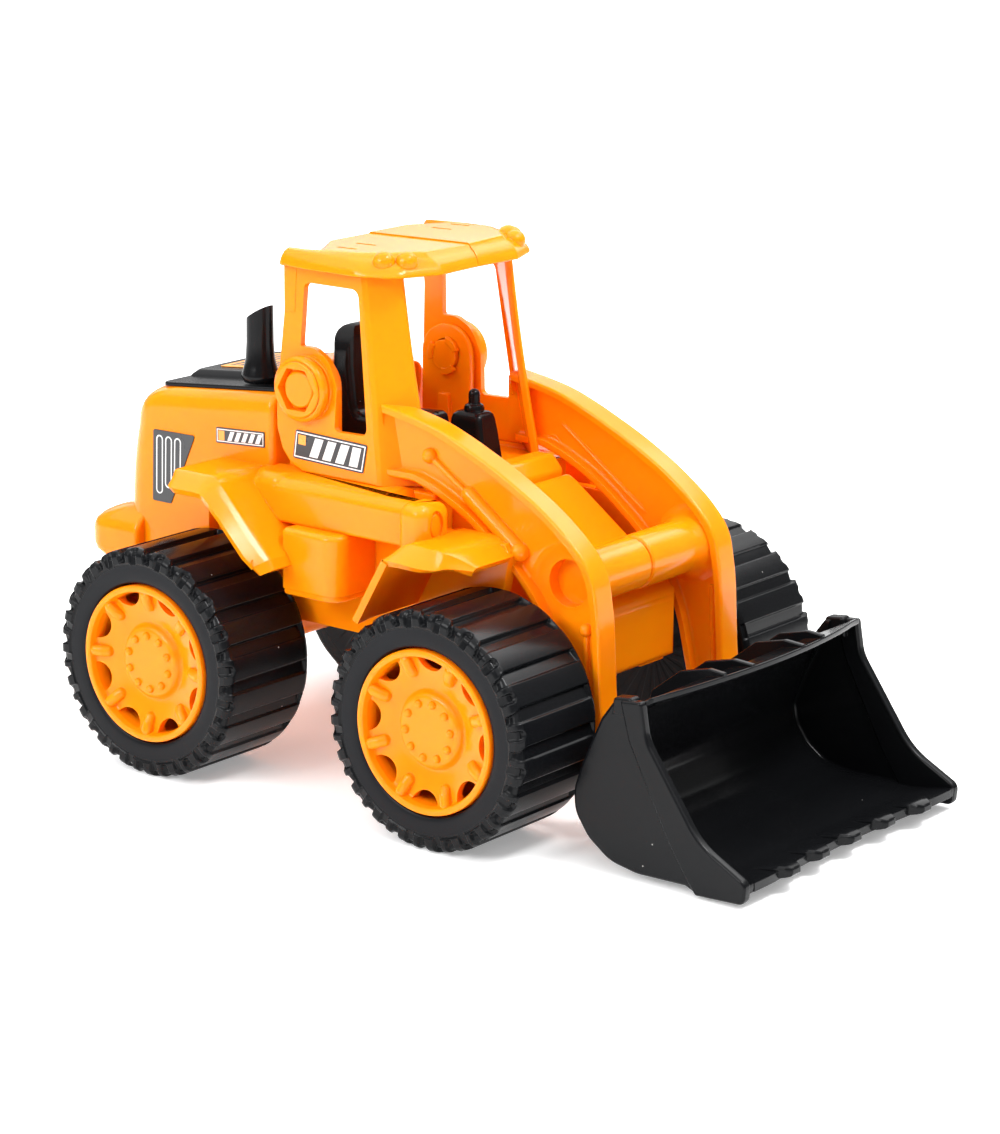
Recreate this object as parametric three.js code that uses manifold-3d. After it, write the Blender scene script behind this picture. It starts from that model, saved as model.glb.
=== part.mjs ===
// A toy wheel loader: a hollow body on two steel axles, a cab whose side walls and loader arms are
// one moulding per side and pivot on two snap plugs, and a bucket that tilts on two pins.
// Millimetres. X runs forward from the rear axle, Y to the left, Z up from the ground.
import * as THREE from 'three';
import { mergeVertices } from 'three/addons/utils/BufferGeometryUtils.js';
import Module from 'manifold-3d';

const wasm = await Module();
wasm.setup();

// ---------------------------------------------------------------- driving dimensions
const REAR_OVERHANG = 70.5; // rear axle to the back of the bumper
const FRONT_REACH = 257; // rear axle to the tips of the bucket
const WHEELBASE = 134.4;
const AXLE_HEIGHT = 43.8;
const TYRE_RADIUS = 43.8;
const WHEEL_OUT = 91.5; // outer plane of the wheels, from the centre plane
const WHEEL_IN = 46.7; // inner plane of the wheels
const RIM_RADIUS = 30;
const AXLE_RADIUS = 2.35;
const GAP = 0.3; // clearance between pieces that touch

const HOOD_HALF = 45.5;
const BELLY_HALF = 40;
const NOSE_HALF = 29.5;
const WALL = 2.5;
const BASE_Z = 56; // lower edge of the body walls
const FLOOR_Z = 115; // cab floor
const PIVOT = { x: 40.5, z: 146.9 }; // lift pivot of the cab and arms
const CAB_LEAN = 0.064; // inward lean of the cab walls, per mm of height
const CAB_HALF = 44.6; // outer face of the cab wall at CAB_REF_Z
const CAB_REF_Z = 135;
const WALL_TOP = 196;
const ARM_IN = 32.7;
const ARM_OUT = 43.3;
const WEB_IN = 36.8;
const WEB_OUT = 39.2;
const TUBE = { x: 157.5, z: 91, radius: 10 }; // cross tube between the arms
const BUCKET_PIVOT = { x: 172, z: 24 };
const BUCKET_HALF = 70;
const PIN_RADIUS = 3;

// ---------------------------------------------------------------- materials
const plastic = (color, roughness) => new THREE.MeshStandardMaterial({ color, roughness, metalness: 0 });
const YELLOW = plastic(0xffab1a, 0.28);
const BLACK = plastic(0x17181a, 0.3);
const TYRE_BLACK = plastic(0x1c1e20, 0.45);
const LABEL = plastic(0x2d2e30, 0.4);
const LABEL_ORANGE = plastic(0xf79a2e, 0.4);
const STEEL = new THREE.MeshStandardMaterial({ color: 0xb9bcc0, roughness: 0.3, metalness: 1 });

// ---------------------------------------------------------------- geometry helpers
// A closed outline through [a, b] or [a, b, radius] points, with the corners that have one rounded.
function outline(points) {
  const shape = new THREE.Shape();
  const at = (index) => new THREE.Vector2(...points[(index + points.length) % points.length]);
  points.forEach(([a, b, radius = 0], index) => {
    const corner = at(index);
    const along = (other) => {
      const reach = Math.min(radius, 0.45 * other.distanceTo(corner));
      return other.sub(corner).setLength(reach).add(corner);
    };
    const before = radius ? along(at(index - 1)) : corner;
    if (index === 0) shape.moveTo(before.x, before.y);
    else shape.lineTo(before.x, before.y);
    if (!radius) return;
    const after = along(at(index + 1));
    shape.quadraticCurveTo(a, b, after.x, after.y);
  });
  return shape;
}

const extruded = (points, depth) =>
  new THREE.ExtrudeGeometry(outline(points), { depth, bevelEnabled: false, curveSegments: 3 });

// A closed geometry as a manifold solid, with its shared vertices merged and slivers dropped.
function solid(geometry) {
  geometry.deleteAttribute('normal');
  geometry.deleteAttribute('uv');
  const merged = mergeVertices(geometry, 1e-4);
  const corners = [...merged.index.array];
  const kept = [];
  for (let i = 0; i < corners.length; i += 3) {
    const [a, b, c] = corners.slice(i, i + 3);
    if (a !== b && b !== c && c !== a) kept.push(a, b, c);
  }
  const vertProperties = merged.attributes.position.array;
  return new wasm.Manifold(new wasm.Mesh({ numProp: 3, vertProperties, triVerts: new Uint32Array(kept) }));
}

// An outline in the X-Z plane, carried across from y0 to y1.
const sideGeometry = (points, y0, y1) =>
  extruded(points, Math.abs(y1 - y0)).rotateX(Math.PI / 2).translate(0, Math.max(y0, y1), 0);
const sidePlate = (points, y0, y1) => solid(sideGeometry(points, y0, y1));

// An outline in the X-Y plane, carried up from z0 to z1.
const flatPlate = (points, z0, z1) => solid(extruded(points, z1 - z0).translate(0, 0, z0));

// An outline in the Y-Z plane, carried forward from x0 to x1.
const ACROSS = new THREE.Matrix4().makeBasis(
  new THREE.Vector3(0, 1, 0),
  new THREE.Vector3(0, 0, 1),
  new THREE.Vector3(1, 0, 0)
);
const crossPlate = (points, x0, x1) =>
  solid(extruded(points, x1 - x0).applyMatrix4(ACROSS).translate(x0, 0, 0));

const box = (x0, x1, y0, y1, z0, z1) => flatPlate([[x0, y0], [x1, y0], [x1, y1], [x0, y1]], z0, z1);

// A cylinder along Y.
const rod = (x, z, radius, y0, y1, sides = 20) =>
  solid(new THREE.CylinderGeometry(radius, radius, Math.abs(y1 - y0), sides).translate(x, (y0 + y1) / 2, z));

// A cylinder along Z.
function post(x, y, radius, z0, z1, sides = 12) {
  const upright = new THREE.CylinderGeometry(radius, radius, z1 - z0, sides).rotateX(Math.PI / 2);
  return solid(upright.translate(x, y, (z0 + z1) / 2));
}

const ball = (x, y, z, radius) => solid(new THREE.SphereGeometry(radius, 10, 7).translate(x, y, z));

// A body of revolution about Y, from [radius, y] points, turned so that a flat facet lies at the bottom.
function turned(points, sides = 32) {
  const profile = points.map(([radius, y]) => new THREE.Vector2(radius, y));
  return solid(new THREE.LatheGeometry(profile, sides).rotateY(Math.PI / sides));
}

// A solid between two rings of four points each, the lower one first.
function loft(lower, upper) {
  const geometry = new THREE.BufferGeometry();
  geometry.setAttribute('position', new THREE.Float32BufferAttribute([...lower, ...upper].flat(), 3));
  const index = [0, 2, 1, 0, 3, 2, 4, 5, 6, 4, 6, 7];
  for (let i = 0; i < 4; i += 1) {
    const next = (i + 1) % 4;
    index.push(i, next, next + 4, i, next + 4, i + 4);
  }
  geometry.setIndex(index);
  return solid(geometry);
}

const union = (solids) => solids.reduce((sum, each) => sum.add(each));
const both = (make) => make(-1).add(make(1));

const loader = new THREE.Group();
loader.position.x = (REAR_OVERHANG - FRONT_REACH) / 2;

function piece(name, shape, material, parent = loader) {
  const cut = shape.getMesh();
  const geometry = new THREE.BufferGeometry();
  geometry.setAttribute('position', new THREE.BufferAttribute(cut.vertProperties, 3));
  geometry.setIndex(new THREE.BufferAttribute(cut.triVerts, 1));
  geometry.computeVertexNormals();
  const mesh = new THREE.Mesh(geometry, material);
  mesh.name = name;
  parent.add(mesh);
  return mesh;
}

// ---------------------------------------------------------------- body
// Height of the hood's top, which rises towards the cab.
const hoodTop = (x) => 136.4 + 0.0939 * (x + 38);

function hoodBlock(inset, floor) {
  const back = -53.8 + inset;
  const front = 24.5 - inset;
  const step = -8 - inset;
  const under = 112 + inset;
  const profile = [
    [back, floor], [front - 40, floor], [step, floor], [step, under], [front, under],
    [front, hoodTop(front) - inset], [-38, hoodTop(-38) - inset, 5], [-44 + inset, 133.4 - inset, 4],
    [-49 + inset, 126.5 - inset / 2, 4], [-51.7 + inset, 110], [back, 89]
  ];
  const half = HOOD_HALF - inset;
  const plan = [[back, -half, 8], [front, -half, 3], [front, half, 3], [back, half, 8]];
  return sidePlate(profile, -half, half).intersect(flatPlate(plan, floor - 1, 160));
}

function belly(inset, floor) {
  const half = BELLY_HALF - inset;
  return box(-30, 98 - inset, -half, half, floor, FLOOR_Z - Math.max(inset, 0.5));
}

// The side band under the cab, with the cab floor between its two halves.
function sideBand() {
  const section = [
    [-55.5, 97.5, 2], [55.5, 97.5, 2], [55.5, 111.5, 2], [47, FLOOR_Z], [-47, FLOOR_Z], [-55.5, 111.5, 2]
  ];
  const plan = [[21.5, -56], [84, -56, 5], [98, -47], [98, 47], [84, 56, 5], [21.5, 56]];
  return crossPlate(section, 21.5, 98).intersect(flatPlate(plan, 90, 120));
}

function noseBlock(inset, floor) {
  const half = NOSE_HALF - inset;
  const front = 158.5 - inset;
  const profile = [
    [92, floor], [front, floor, inset ? 0 : 3], [front, 71 - inset, 5], [144 - inset / 2, 84.6 - inset],
    [107 - inset / 2, 111.5 - inset, 2], [104.5 - inset, 110 - inset], [105 - inset, 114 - inset, 1],
    [100.5 - inset, 118.6 - inset, 2], [94, 118.6 - inset, 1], [92, FLOOR_Z - 1 - inset]
  ];
  return sidePlate(profile, -half, half);
}

function bumper() {
  const back = -REAR_OVERHANG;
  const profile = [
    [-62.5, 65], [back, 70, 2], [back, 80, 4], [-64, 85.5, 4], [-50, 88.5, 3], [-42, 85.5, 2], [-42, 65]
  ];
  const plan = [[back, -50, 10], [-42, -50, 2], [-42, 50, 2], [back, 50, 10]];
  return sidePlate(profile, -50, 50).intersect(flatPlate(plan, 60, 95));
}

// A rear fender: a top plate and a sloped leg in front of the wheel.
function rearFender(side) {
  const profile = [
    [0.3, 112], [0.3, 115], [19, 115, 5], [46.8, 87.8, 2], [47.5, 85.5], [43.8, 86.5], [17.6, 112, 4]
  ];
  const plan = [[0.3, side * 44], [49, side * 44], [49, side * 79, 6], [0.3, side * 79, 12]];
  return sidePlate(profile, side * 44, side * 79).intersect(flatPlate(plan, 80, 120));
}

// A front fender: a leg behind the wheel, a top plate, its inner wall and the lamp block on it.
function frontFender(side) {
  const profile = [
    [93, 75.5], [93, 79], [108.5, 105, 3], [131, 105, 2], [137, 100.5], [135.5, 98.5], [129.5, 102],
    [110.5, 102, 3], [96, 75.5]
  ];
  const plan = [[92, side * 44], [138, side * 44], [138, side * 80, 13], [92, side * 80, 4]];
  const plate = sidePlate(profile, side * 44, side * 80).intersect(flatPlate(plan, 70, 110));
  const innerWall = sidePlate([[94, 62], [128, 62], [136, 99], [130, 104], [94, 104]], side * 44, side * 46);
  const lampBlock = box(97, 113.5, side * 51, side * 66.5, 103, 119);
  const joint = box(90, 98, side * 38, side * 46, 62, 104);
  return union([plate, innerWall, lampBlock, joint]);
}

function pivotEar(side) {
  const tongue = box(28.5, 52.5, side * 38, side * 40.5, FLOOR_Z - 1, PIVOT.z);
  const eye = rod(PIVOT.x, PIVOT.z, 12, side * 38, side * 40.5, 24);
  return tongue.add(eye).subtract(rod(PIVOT.x, PIVOT.z, 6.5, side * 37, side * 41.5));
}

const SCREWS = [[-30, -24], [-30, 24], [84, -24], [84, 24]];

function upperBody() {
  const shell = union([
    hoodBlock(0, BASE_Z),
    belly(0, BASE_Z),
    sideBand(),
    noseBlock(0, 50),
    bumper(),
    both((side) => box(42.6, 70, side * 38, side * 62, 72.3, 97.7)),
    both(rearFender),
    both(frontFender),
    box(13, 24.5, -17, 17, 138, 150)
  ]);
  const hollow = union([
    hoodBlock(WALL, BASE_Z - 10),
    belly(WALL, BASE_Z - 10),
    noseBlock(WALL, 40),
    box(-67, -56, -45, 45, 60, 82),
    both((side) => box(27, 81, side * 42.5, side * 52.5, 96, 109)),
    both((side) => box(45, 67.5, side * 37, side * 59.5, 74.8, 95.2))
  ]);
  const bosses = union(SCREWS.map(([x, y]) => post(x, y, 4.5, 62, x < 0 ? hoodTop(x) - 1 : FLOOR_Z - 1)));
  const bores = union(SCREWS.map(([x, y]) => post(x, y, 1.7, 50, 80)));
  return shell.subtract(hollow).add(bosses).subtract(bores).add(both(pivotEar));
}

// The pan that closes the belly and carries both axles.
function lowerFrame() {
  const half = BELLY_HALF - WALL - GAP;
  const pan = box(-29, 95, -half, half, BASE_Z + 1, BASE_Z + 1 + WALL);
  const tailPlan = [[-51, -42.6, 9], [-11, -42.6], [-11, 42.6], [-51, 42.6, 9]];
  const tail = flatPlate(tailPlan, BASE_Z + 1, BASE_Z + 1 + WALL);
  const tongue = box(90, 155.6, -26.6, 26.6, BASE_Z + 1, BASE_Z + 1 + WALL);
  const bearing = (x, reach) => {
    const block = box(x - 8, x + 8, -reach, reach, AXLE_HEIGHT - 7, BASE_Z + 2);
    return block.subtract(box(x - 5.5, x + 5.5, 7 - reach, reach - 7, 30, BASE_Z));
  };
  const bores = [0, WHEELBASE].map((x) => rod(x, AXLE_HEIGHT, 2.7, -50, 50, 24));
  const holes = SCREWS.map(([x, y]) => post(x, y, 1.9, 50, 70));
  return union([pan, tail, tongue, bearing(0, half), bearing(WHEELBASE, 26.6)])
    .subtract(union([...bores, ...holes]));
}

piece('upper_body', upperBody(), YELLOW);
piece('lower_frame', lowerFrame(), YELLOW);

SCREWS.forEach(([x, y], index) => {
  const screw = post(x, y, 3.2, BASE_Z - 1.5, BASE_Z + 1 - GAP).add(post(x, y, 1.4, BASE_Z, 76, 10));
  piece(`base_screw_${index + 1}`, screw, STEEL);
});

// ---------------------------------------------------------------- fittings on the body
function engineDeck() {
  const lift = 0.2;
  const top = (x, rise) => [x, hoodTop(x) + rise];
  const plate = sidePlate([top(-37, lift), top(12.7, lift), top(12.7, 1.5), top(-37, 1.5)], -39.5, 39.5);
  const front = both((side) =>
    sidePlate([top(12, lift), top(24, lift), top(24, 1.5), top(12, 1.5)], side * 17.4, side * 39.5)
  );
  const panel = sidePlate([top(-36, 1), top(10, 1), top(8, 4.2), top(-33, 4.2)], -23, 23);
  return union([plate, front, panel]);
}

// The exhaust stack: a flared foot, a slanted mouth and a shallow bore.
function exhaustStack() {
  const at = { x: 6, y: -31 };
  const foot = hoodTop(at.x) + 2.4;
  const profile = [[0, foot], [6.3, foot], [7.2, foot + 3], [5.8, foot + 8], [5.3, 174], [0, 174]];
  const axis = (points) => new THREE.LatheGeometry(points.map(([r, z]) => new THREE.Vector2(r, z)), 20);
  const place = (geometry) => solid(geometry.rotateX(Math.PI / 2).translate(at.x, at.y, 0));
  const bore = place(axis([[0, 160], [4.2, 160], [4.2, 180], [0, 180]]));
  const slantOutline = [[at.x - 9, 163], [at.x + 9, 175.5], [at.x + 9, 190], [at.x - 9, 190]];
  const slant = sidePlate(slantOutline, at.y - 9, at.y + 9);
  return place(axis(profile)).subtract(bore).subtract(slant);
}

const seatProfile = [
  [27, FLOOR_Z + GAP], [61, FLOOR_Z + GAP], [62, 131.5, 3], [38, 131.5, 1], [36.5, 160, 3], [33, 165.5, 2],
  [27.5, 162, 2]
];

function consoleBody() {
  const foot = FLOOR_Z + GAP;
  const body = loft(
    [[64, 8.5, foot], [82, 8.5, foot], [82, 21.5, foot], [64, 21.5, foot]],
    [[65, 9.5, 133], [79, 9.5, 132], [79, 20.5, 132], [65, 20.5, 133]]
  );
  return union([body, post(72.5, 15, 3.8, 131, 135.5), post(72.5, 15, 2.2, 134, 141)]);
}

piece('engine_deck', engineDeck(), BLACK);
piece('exhaust_stack', exhaustStack(), BLACK);
piece('seat', sidePlate(seatProfile, -15, 15), BLACK);
piece('control_console', consoleBody(), BLACK);

// Thin printed labels: one on the deck, and a pair on each side of the hood and the cab.
const LABEL_GAP = 0.1;
const LABEL_THICK = 0.35;
const deckTop = (x) => hoodTop(x) + 4.2 + LABEL_GAP;
const deckLabel = [
  [-28, deckTop(-28)], [2, deckTop(2)], [2, deckTop(2) + LABEL_THICK], [-28, deckTop(-28) + LABEL_THICK]
];
piece('deck_label', sidePlate(deckLabel, -17, 17), LABEL_ORANGE);

for (const [name, side] of [['right', -1], ['left', 1]]) {
  const inner = side * (HOOD_HALF + LABEL_GAP);
  const outer = side * (HOOD_HALF + LABEL_GAP + LABEL_THICK);
  const grille = [[-36, 120.8], [-14.4, 121.1], [-27.4, 92.7], [-36.9, 92.7]];
  const stripe = [[-3.4, 119.9], [21, 121.9], [21, 128.3], [-3.4, 126.3]];
  piece(`grille_label_${name}`, sidePlate(grille, inner, outer), LABEL);
  piece(`hood_label_${name}`, sidePlate(stripe, inner, outer), LABEL);
}

// ---------------------------------------------------------------- cab walls and loader arms
// Everything in this section is drawn for the left side; the right side is its mirror image.
const ARM_OUTLINE = [
  [76, 146.5], [87, 143, 3], [96, 141, 4], [111, 135.4], [131, 127], [149, 117.3], [165, 105.4, 5], [171.3, 97, 6],
  [174.4, 77], [176.8, 45], [180, 24, 7], [172, 16, 7], [164, 24, 7], [159.3, 44.5], [154.8, 63.5], [149.4, 76],
  [143, 85, 6], [135.5, 92.8, 4], [122.3, 103.2], [112.8, 109.6], [99.5, 115.8, 4], [90, 118.8, 3], [80, 118.6]
];
const ARM_HOLLOW = [
  [80, 142.5], [95.5, 138.2], [110, 132.7], [130, 124.3], [147.7, 114.7], [163.2, 103.3, 4], [168.6, 96, 4],
  [171.6, 77], [174, 46], [162.5, 44.5], [157.6, 64.5], [152, 77.5], [145, 87.2, 4], [137.2, 95.2],
  [124, 105.6], [114, 112.2], [100, 118.6], [90, 121.6], [84, 121.6]
];
const WALL_OUTLINE = [
  [26.5, WALL_TOP], [27.8, 173.4, 3], [26.2, 150], [25.8, 137.3, 3], [26.2, 130.4, 3], [29.1, 122.5, 2],
  [33.5, 117.6, 2], [39.8, FLOOR_Z + GAP], [76.2, FLOOR_Z + GAP], [64, WALL_TOP]
];
const WINDOW = [
  [37.4, 185.6, 3], [63.1, 185.6, 3], [70.2, 133, 4], [54.8, 132.6, 3], [54.8, 152, 6], [50.5, 159.5, 5],
  [42, 163.5, 5], [36.8, 164, 3]
];
const CAB_PANEL = [[36.1, 130.8], [70.7, 129.7], [69.2, 119], [35.2, 120.1]];

// An outline in the X-Z plane, carried across and then leaned inwards as the cab walls are.
function leanedPlate(points, y0, y1) {
  const lean = new THREE.Matrix4().makeShear(0, 0, 0, 0, 0, -CAB_LEAN);
  return solid(sideGeometry(points, y0, y1).applyMatrix4(lean).translate(0, CAB_LEAN * CAB_REF_Z, 0));
}

// The slanted face from the side wall's crease to the front edge beside the windscreen opening.
function frontPillar() {
  const ring = (z, creaseX, frontX) => {
    const creaseY = CAB_HALF - CAB_LEAN * (z - CAB_REF_Z);
    return [
      [creaseX - 1.8, creaseY - 2.4, z], [frontX - 1.8, 29.8, z], [frontX, 31.5, z], [creaseX, creaseY, z]
    ];
  };
  return loft(ring(FLOOR_Z + GAP, 76.2, 91.3), ring(WALL_TOP, 64, 75.5));
}

// Half of the cross tube, hollow from the joint on the centre plane.
function halfTube() {
  const barrel = rod(TUBE.x, TUBE.z, TUBE.radius, GAP / 2, WEB_OUT, 24);
  return barrel.subtract(rod(TUBE.x, TUBE.z, TUBE.radius - 1.8, 0, 30, 24));
}

function armBeam() {
  return sidePlate(ARM_OUTLINE, ARM_IN, ARM_OUT)
    .subtract(sidePlate(ARM_HOLLOW, ARM_IN - 1, WEB_IN))
    .subtract(sidePlate(ARM_HOLLOW, WEB_OUT, ARM_OUT + 1));
}

// A moulded imitation of a hydraulic cylinder on the outer face of the web.
function cylinderRelief() {
  const y = WEB_OUT + 0.6;
  const bar = ([x0, z0], [x1, z1], radius) => {
    const bone = new THREE.CylinderGeometry(radius, radius, Math.hypot(x1 - x0, z1 - z0), 8);
    bone.rotateX(Math.PI / 2).rotateY(Math.atan2(x1 - x0, z1 - z0));
    return solid(bone.translate((x0 + x1) / 2, y, (z0 + z1) / 2));
  };
  const thin = bar([95.7, 128.6], [114.5, 117.2], 1.5);
  const thick = bar([113, 118.2], [136.5, 100.4], 2.7);
  return union([thin, thick, ball(95.7, y, 128.6, 2.9), ball(137.5, y, 99.7, 3.4)]);
}

// Half of the roof, from the joint on the centre plane out to the drip edge.
function halfRoof() {
  const section = [
    [GAP / 2, 198.4], [39, 198.4], [45.8, 192.8, 1], [45.8, 190.6], [43.6, 190.6], [43.1, 192.4],
    [38.6, 195.6], [GAP / 2, 195.6]
  ];
  const envelope = [[GAP / 2, 185], [47, 185], [47, 191.8], [39, 198.4], [GAP / 2, 198.4]];
  const visor = [[74, 195.6], [74, 198.4], [88, 192.4], [88, 190.2], [80, 193]];
  const plan = [[26, 0], [26, 46, 3], [68, 46, 8], [78.5, 42.5, 4], [87, 22, 2], [85, 17.4], [85, 0]];
  const visorSkin = sidePlate(visor, 0, 46).intersect(crossPlate(envelope, 73, 90));
  const skin = crossPlate(section, 26, 75).add(visorSkin);
  const slots = union([22, 33].map((y) => box(46, 55.5, y - 0.8, y + 0.8, 190, 200)));
  const lamps = ball(71.3, 36, 197.2, 3.6).add(ball(80.2, 35, 196.2, 3.6));
  return skin.intersect(flatPlate(plan, 180, 205)).subtract(slots).add(lamps);
}

function cabArm() {
  const plugHole = rod(PIVOT.x, PIVOT.z, 6.5, 37, 50);
  const wall = leanedPlate(WALL_OUTLINE, CAB_HALF - WALL, CAB_HALF)
    .subtract(sidePlate(WINDOW, 34, 50))
    .subtract(plugHole);
  const web = box(74, 84, WEB_IN, WEB_OUT, 118.8, 143);
  const tubePocket = rod(TUBE.x, TUBE.z, 8.7, 34.5, 45, 24);
  const pinHole = rod(BUCKET_PIVOT.x, BUCKET_PIVOT.z, PIN_RADIUS + 0.2, 30, 46);
  return union([wall, web, frontPillar(), halfRoof(), armBeam(), halfTube(), cylinderRelief()])
    .subtract(tubePocket)
    .subtract(pinHole);
}

// A pivot plug: a round head with a hexagonal recess, a stub through the wall and the ear, and a catch.
function pivotPlug() {
  const head = rod(PIVOT.x, PIVOT.z, 12.3, 44.9, 49.5, 28);
  const hexRecess = rod(PIVOT.x, PIVOT.z, 8.4, 46, 51, 6);
  const stub = rod(PIVOT.x, PIVOT.z, 6, 36, 47);
  const catchRing = rod(PIVOT.x, PIVOT.z, 7.3, 36, 37.6);
  return union([head.subtract(hexRecess), stub, catchRing]);
}

function bucketPin() {
  const shank = rod(BUCKET_PIVOT.x, BUCKET_PIVOT.z, PIN_RADIUS, 28, ARM_OUT + 1);
  return shank.add(rod(BUCKET_PIVOT.x, BUCKET_PIVOT.z, 5, ARM_OUT + GAP, ARM_OUT + 2));
}

const labelInner = CAB_HALF + LABEL_GAP;
const cabLabel = leanedPlate(CAB_PANEL, labelInner, labelInner + LABEL_THICK);

for (const [name, side] of [['right', -1], ['left', 1]]) {
  piece(`cab_arm_${name}`, cabArm(), YELLOW).scale.y = side;
  piece(`pivot_plug_${name}`, pivotPlug(), YELLOW).scale.y = side;
  piece(`bucket_pin_${name}`, bucketPin(), YELLOW).scale.y = side;
  piece(`cab_label_${name}`, cabLabel, LABEL).scale.y = side;
}

// ---------------------------------------------------------------- bucket
const BUCKET_OUTSIDE = [
  [201, 63.6, 2], [212.5, 65, 2], [214.8, 52], [237.5, 20], [FRONT_REACH, 9], [256.4, 2.2], [236, 1.2], [231.5, 3],
  [211, 2.8], [199.5, 4.9, 5], [190, 11.7, 5], [184.4, 20, 4], [183.8, 28, 3], [187, 38], [195, 56]
];
const BUCKET_INSIDE = [
  [202.6, 60.6], [225, 100], [300, 100], [300, 4.4], [240, 4.4], [211, 5.4], [201, 7.6, 5], [192.6, 13.6, 5],
  [187.2, 21, 4], [186.6, 28, 3], [189.5, 37], [197.5, 54.5]
];

function bucketLug(side) {
  const arm = [[172, 31, 4], [165, 24, 4], [172, 17, 4], [189, 13], [189, 36]];
  return sidePlate(arm, side * 29.4, side * 32.2);
}

function bucket() {
  const shell = sidePlate(BUCKET_OUTSIDE, -BUCKET_HALF, BUCKET_HALF)
    .subtract(sidePlate(BUCKET_INSIDE, WALL - BUCKET_HALF, BUCKET_HALF - WALL))
    .subtract(box(250, 260, -64, 64, -1, 30));
  const guardPlan = [
    [197, -68], [211, -69], [214, -58], [223, -31], [223.4, 0], [223, 31], [214, 58], [211, 69], [197, 68]
  ];
  const slope = new THREE.Matrix4().makeShear(0, 0.2, 0, 0, 0, 0);
  const guard = solid(extruded(guardPlan, 2.4).applyMatrix4(slope).translate(0, 0, 20.8));
  const rib = [[193.5, 56], [193.5, 59.5], [203.5, 67, 1], [221, 68, 1], [223, 65.5], [200, 60]];
  const ribs = [-31.3, -16, 16, 31.3].map((y) => sidePlate(rib, y - 1.1, y + 1.1));
  const pinHoles = rod(BUCKET_PIVOT.x, BUCKET_PIVOT.z, PIN_RADIUS + 0.2, -40, 40);
  const teeth = [-45, -22.5, 0, 22.5, 45].map((y) =>
    flatPlate([[238, y - 5], [254, y - 2.5, 1], [254, y + 2.5, 1], [238, y + 5]], 1.4, 4.6)
  );
  return union([shell, guard, ...ribs, ...teeth, both(bucketLug)]).subtract(pinHoles);
}

piece('bucket', bucket(), BLACK);

// ---------------------------------------------------------------- wheels
// Each section is drawn for a left wheel: [radius, distance from the centre plane].
// The tyre is a hollow moulding, open towards the rim as a real tyre is.
const TYRE_WALL = 2.6;
const BEAD_RADIUS = RIM_RADIUS + GAP;
const TREAD_RADIUS = TYRE_RADIUS / Math.cos(Math.PI / 32);
const TYRE_SECTION = [
  [BEAD_RADIUS, 48.5], [38, WHEEL_IN], [TREAD_RADIUS - 1, WHEEL_IN + 0.6], [TREAD_RADIUS, WHEEL_IN + 3],
  [TREAD_RADIUS, WHEEL_OUT - 3.5], [41.5, WHEEL_OUT - 0.6], [36, WHEEL_OUT], [BEAD_RADIUS, WHEEL_OUT - 0.8],
  [BEAD_RADIUS, WHEEL_OUT - 0.8 - TYRE_WALL], [36, WHEEL_OUT - TYRE_WALL],
  [40.2, WHEEL_OUT - 0.8 - TYRE_WALL], [TREAD_RADIUS - TYRE_WALL, WHEEL_OUT - 6],
  [TREAD_RADIUS - TYRE_WALL, WHEEL_IN + 4.5], [38, WHEEL_IN + TYRE_WALL], [BEAD_RADIUS, 48.5 + TYRE_WALL],
  [BEAD_RADIUS, 48.5]
];
const RIM_SECTION = [
  [0, 84.9], [2.6, 84.9], [2.6, 49], [5.5, 49], [5.5, 79], [24.3, 79.2], [27.2, 76], [27.2, 49], [RIM_RADIUS, 49],
  [RIM_RADIUS, WHEEL_OUT], [27.3, WHEEL_OUT], [26.2, 90], [25.4, 82], [14.2, 81.7], [12.8, 86.6],
  [11.2, 87.7], [0, 87.7]
];

function rim() {
  const windows = [];
  const fins = [];
  for (let i = 0; i < 8; i += 1) {
    const angle = ((i + 0.5) * Math.PI) / 4;
    windows.push(rod(26.5 * Math.cos(angle), 26.5 * Math.sin(angle), 5.4, 76, 84, 12));
    const fin = new THREE.BoxGeometry(10.5, 6, 3).translate(21, 83.6, 0).rotateY((i * Math.PI) / 4);
    fins.push(solid(fin));
  }
  const openings = union(windows).intersect(turned([[0, 70], [25, 70], [25, 90], [0, 90]]));
  return turned(RIM_SECTION).subtract(openings).add(union(fins));
}

const tyreShape = turned(TYRE_SECTION);
const rimShape = rim();
const axleShape = rod(0, 0, AXLE_RADIUS, -84.6, 84.6, 16);

for (const [place, x] of [['rear', 0], ['front', WHEELBASE]]) {
  const axle = new THREE.Group();
  axle.position.set(x, 0, AXLE_HEIGHT);
  loader.add(axle);
  piece(`${place}_axle`, axleShape, STEEL, axle);
  for (const [name, turn] of [['left', 0], ['right', Math.PI]]) {
    const wheel = new THREE.Group();
    wheel.rotation.z = turn;
    axle.add(wheel);
    piece(`${place}_${name}_tyre`, tyreShape, TYRE_BLACK, wheel);
    piece(`${place}_${name}_rim`, rimShape, YELLOW, wheel);
  }
}

export default loader;
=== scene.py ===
"""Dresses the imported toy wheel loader: moulded plastic shells, lugged tyres, labels, studio and camera.

Shapes are drawn in millimetres from the rear axle, X forward, Y to the left and Z up from the ground.
Placing a piece moves it into the frame.
"""

import math

import bmesh
import bpy
import numpy as np
from mathutils import Matrix, Vector


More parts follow.
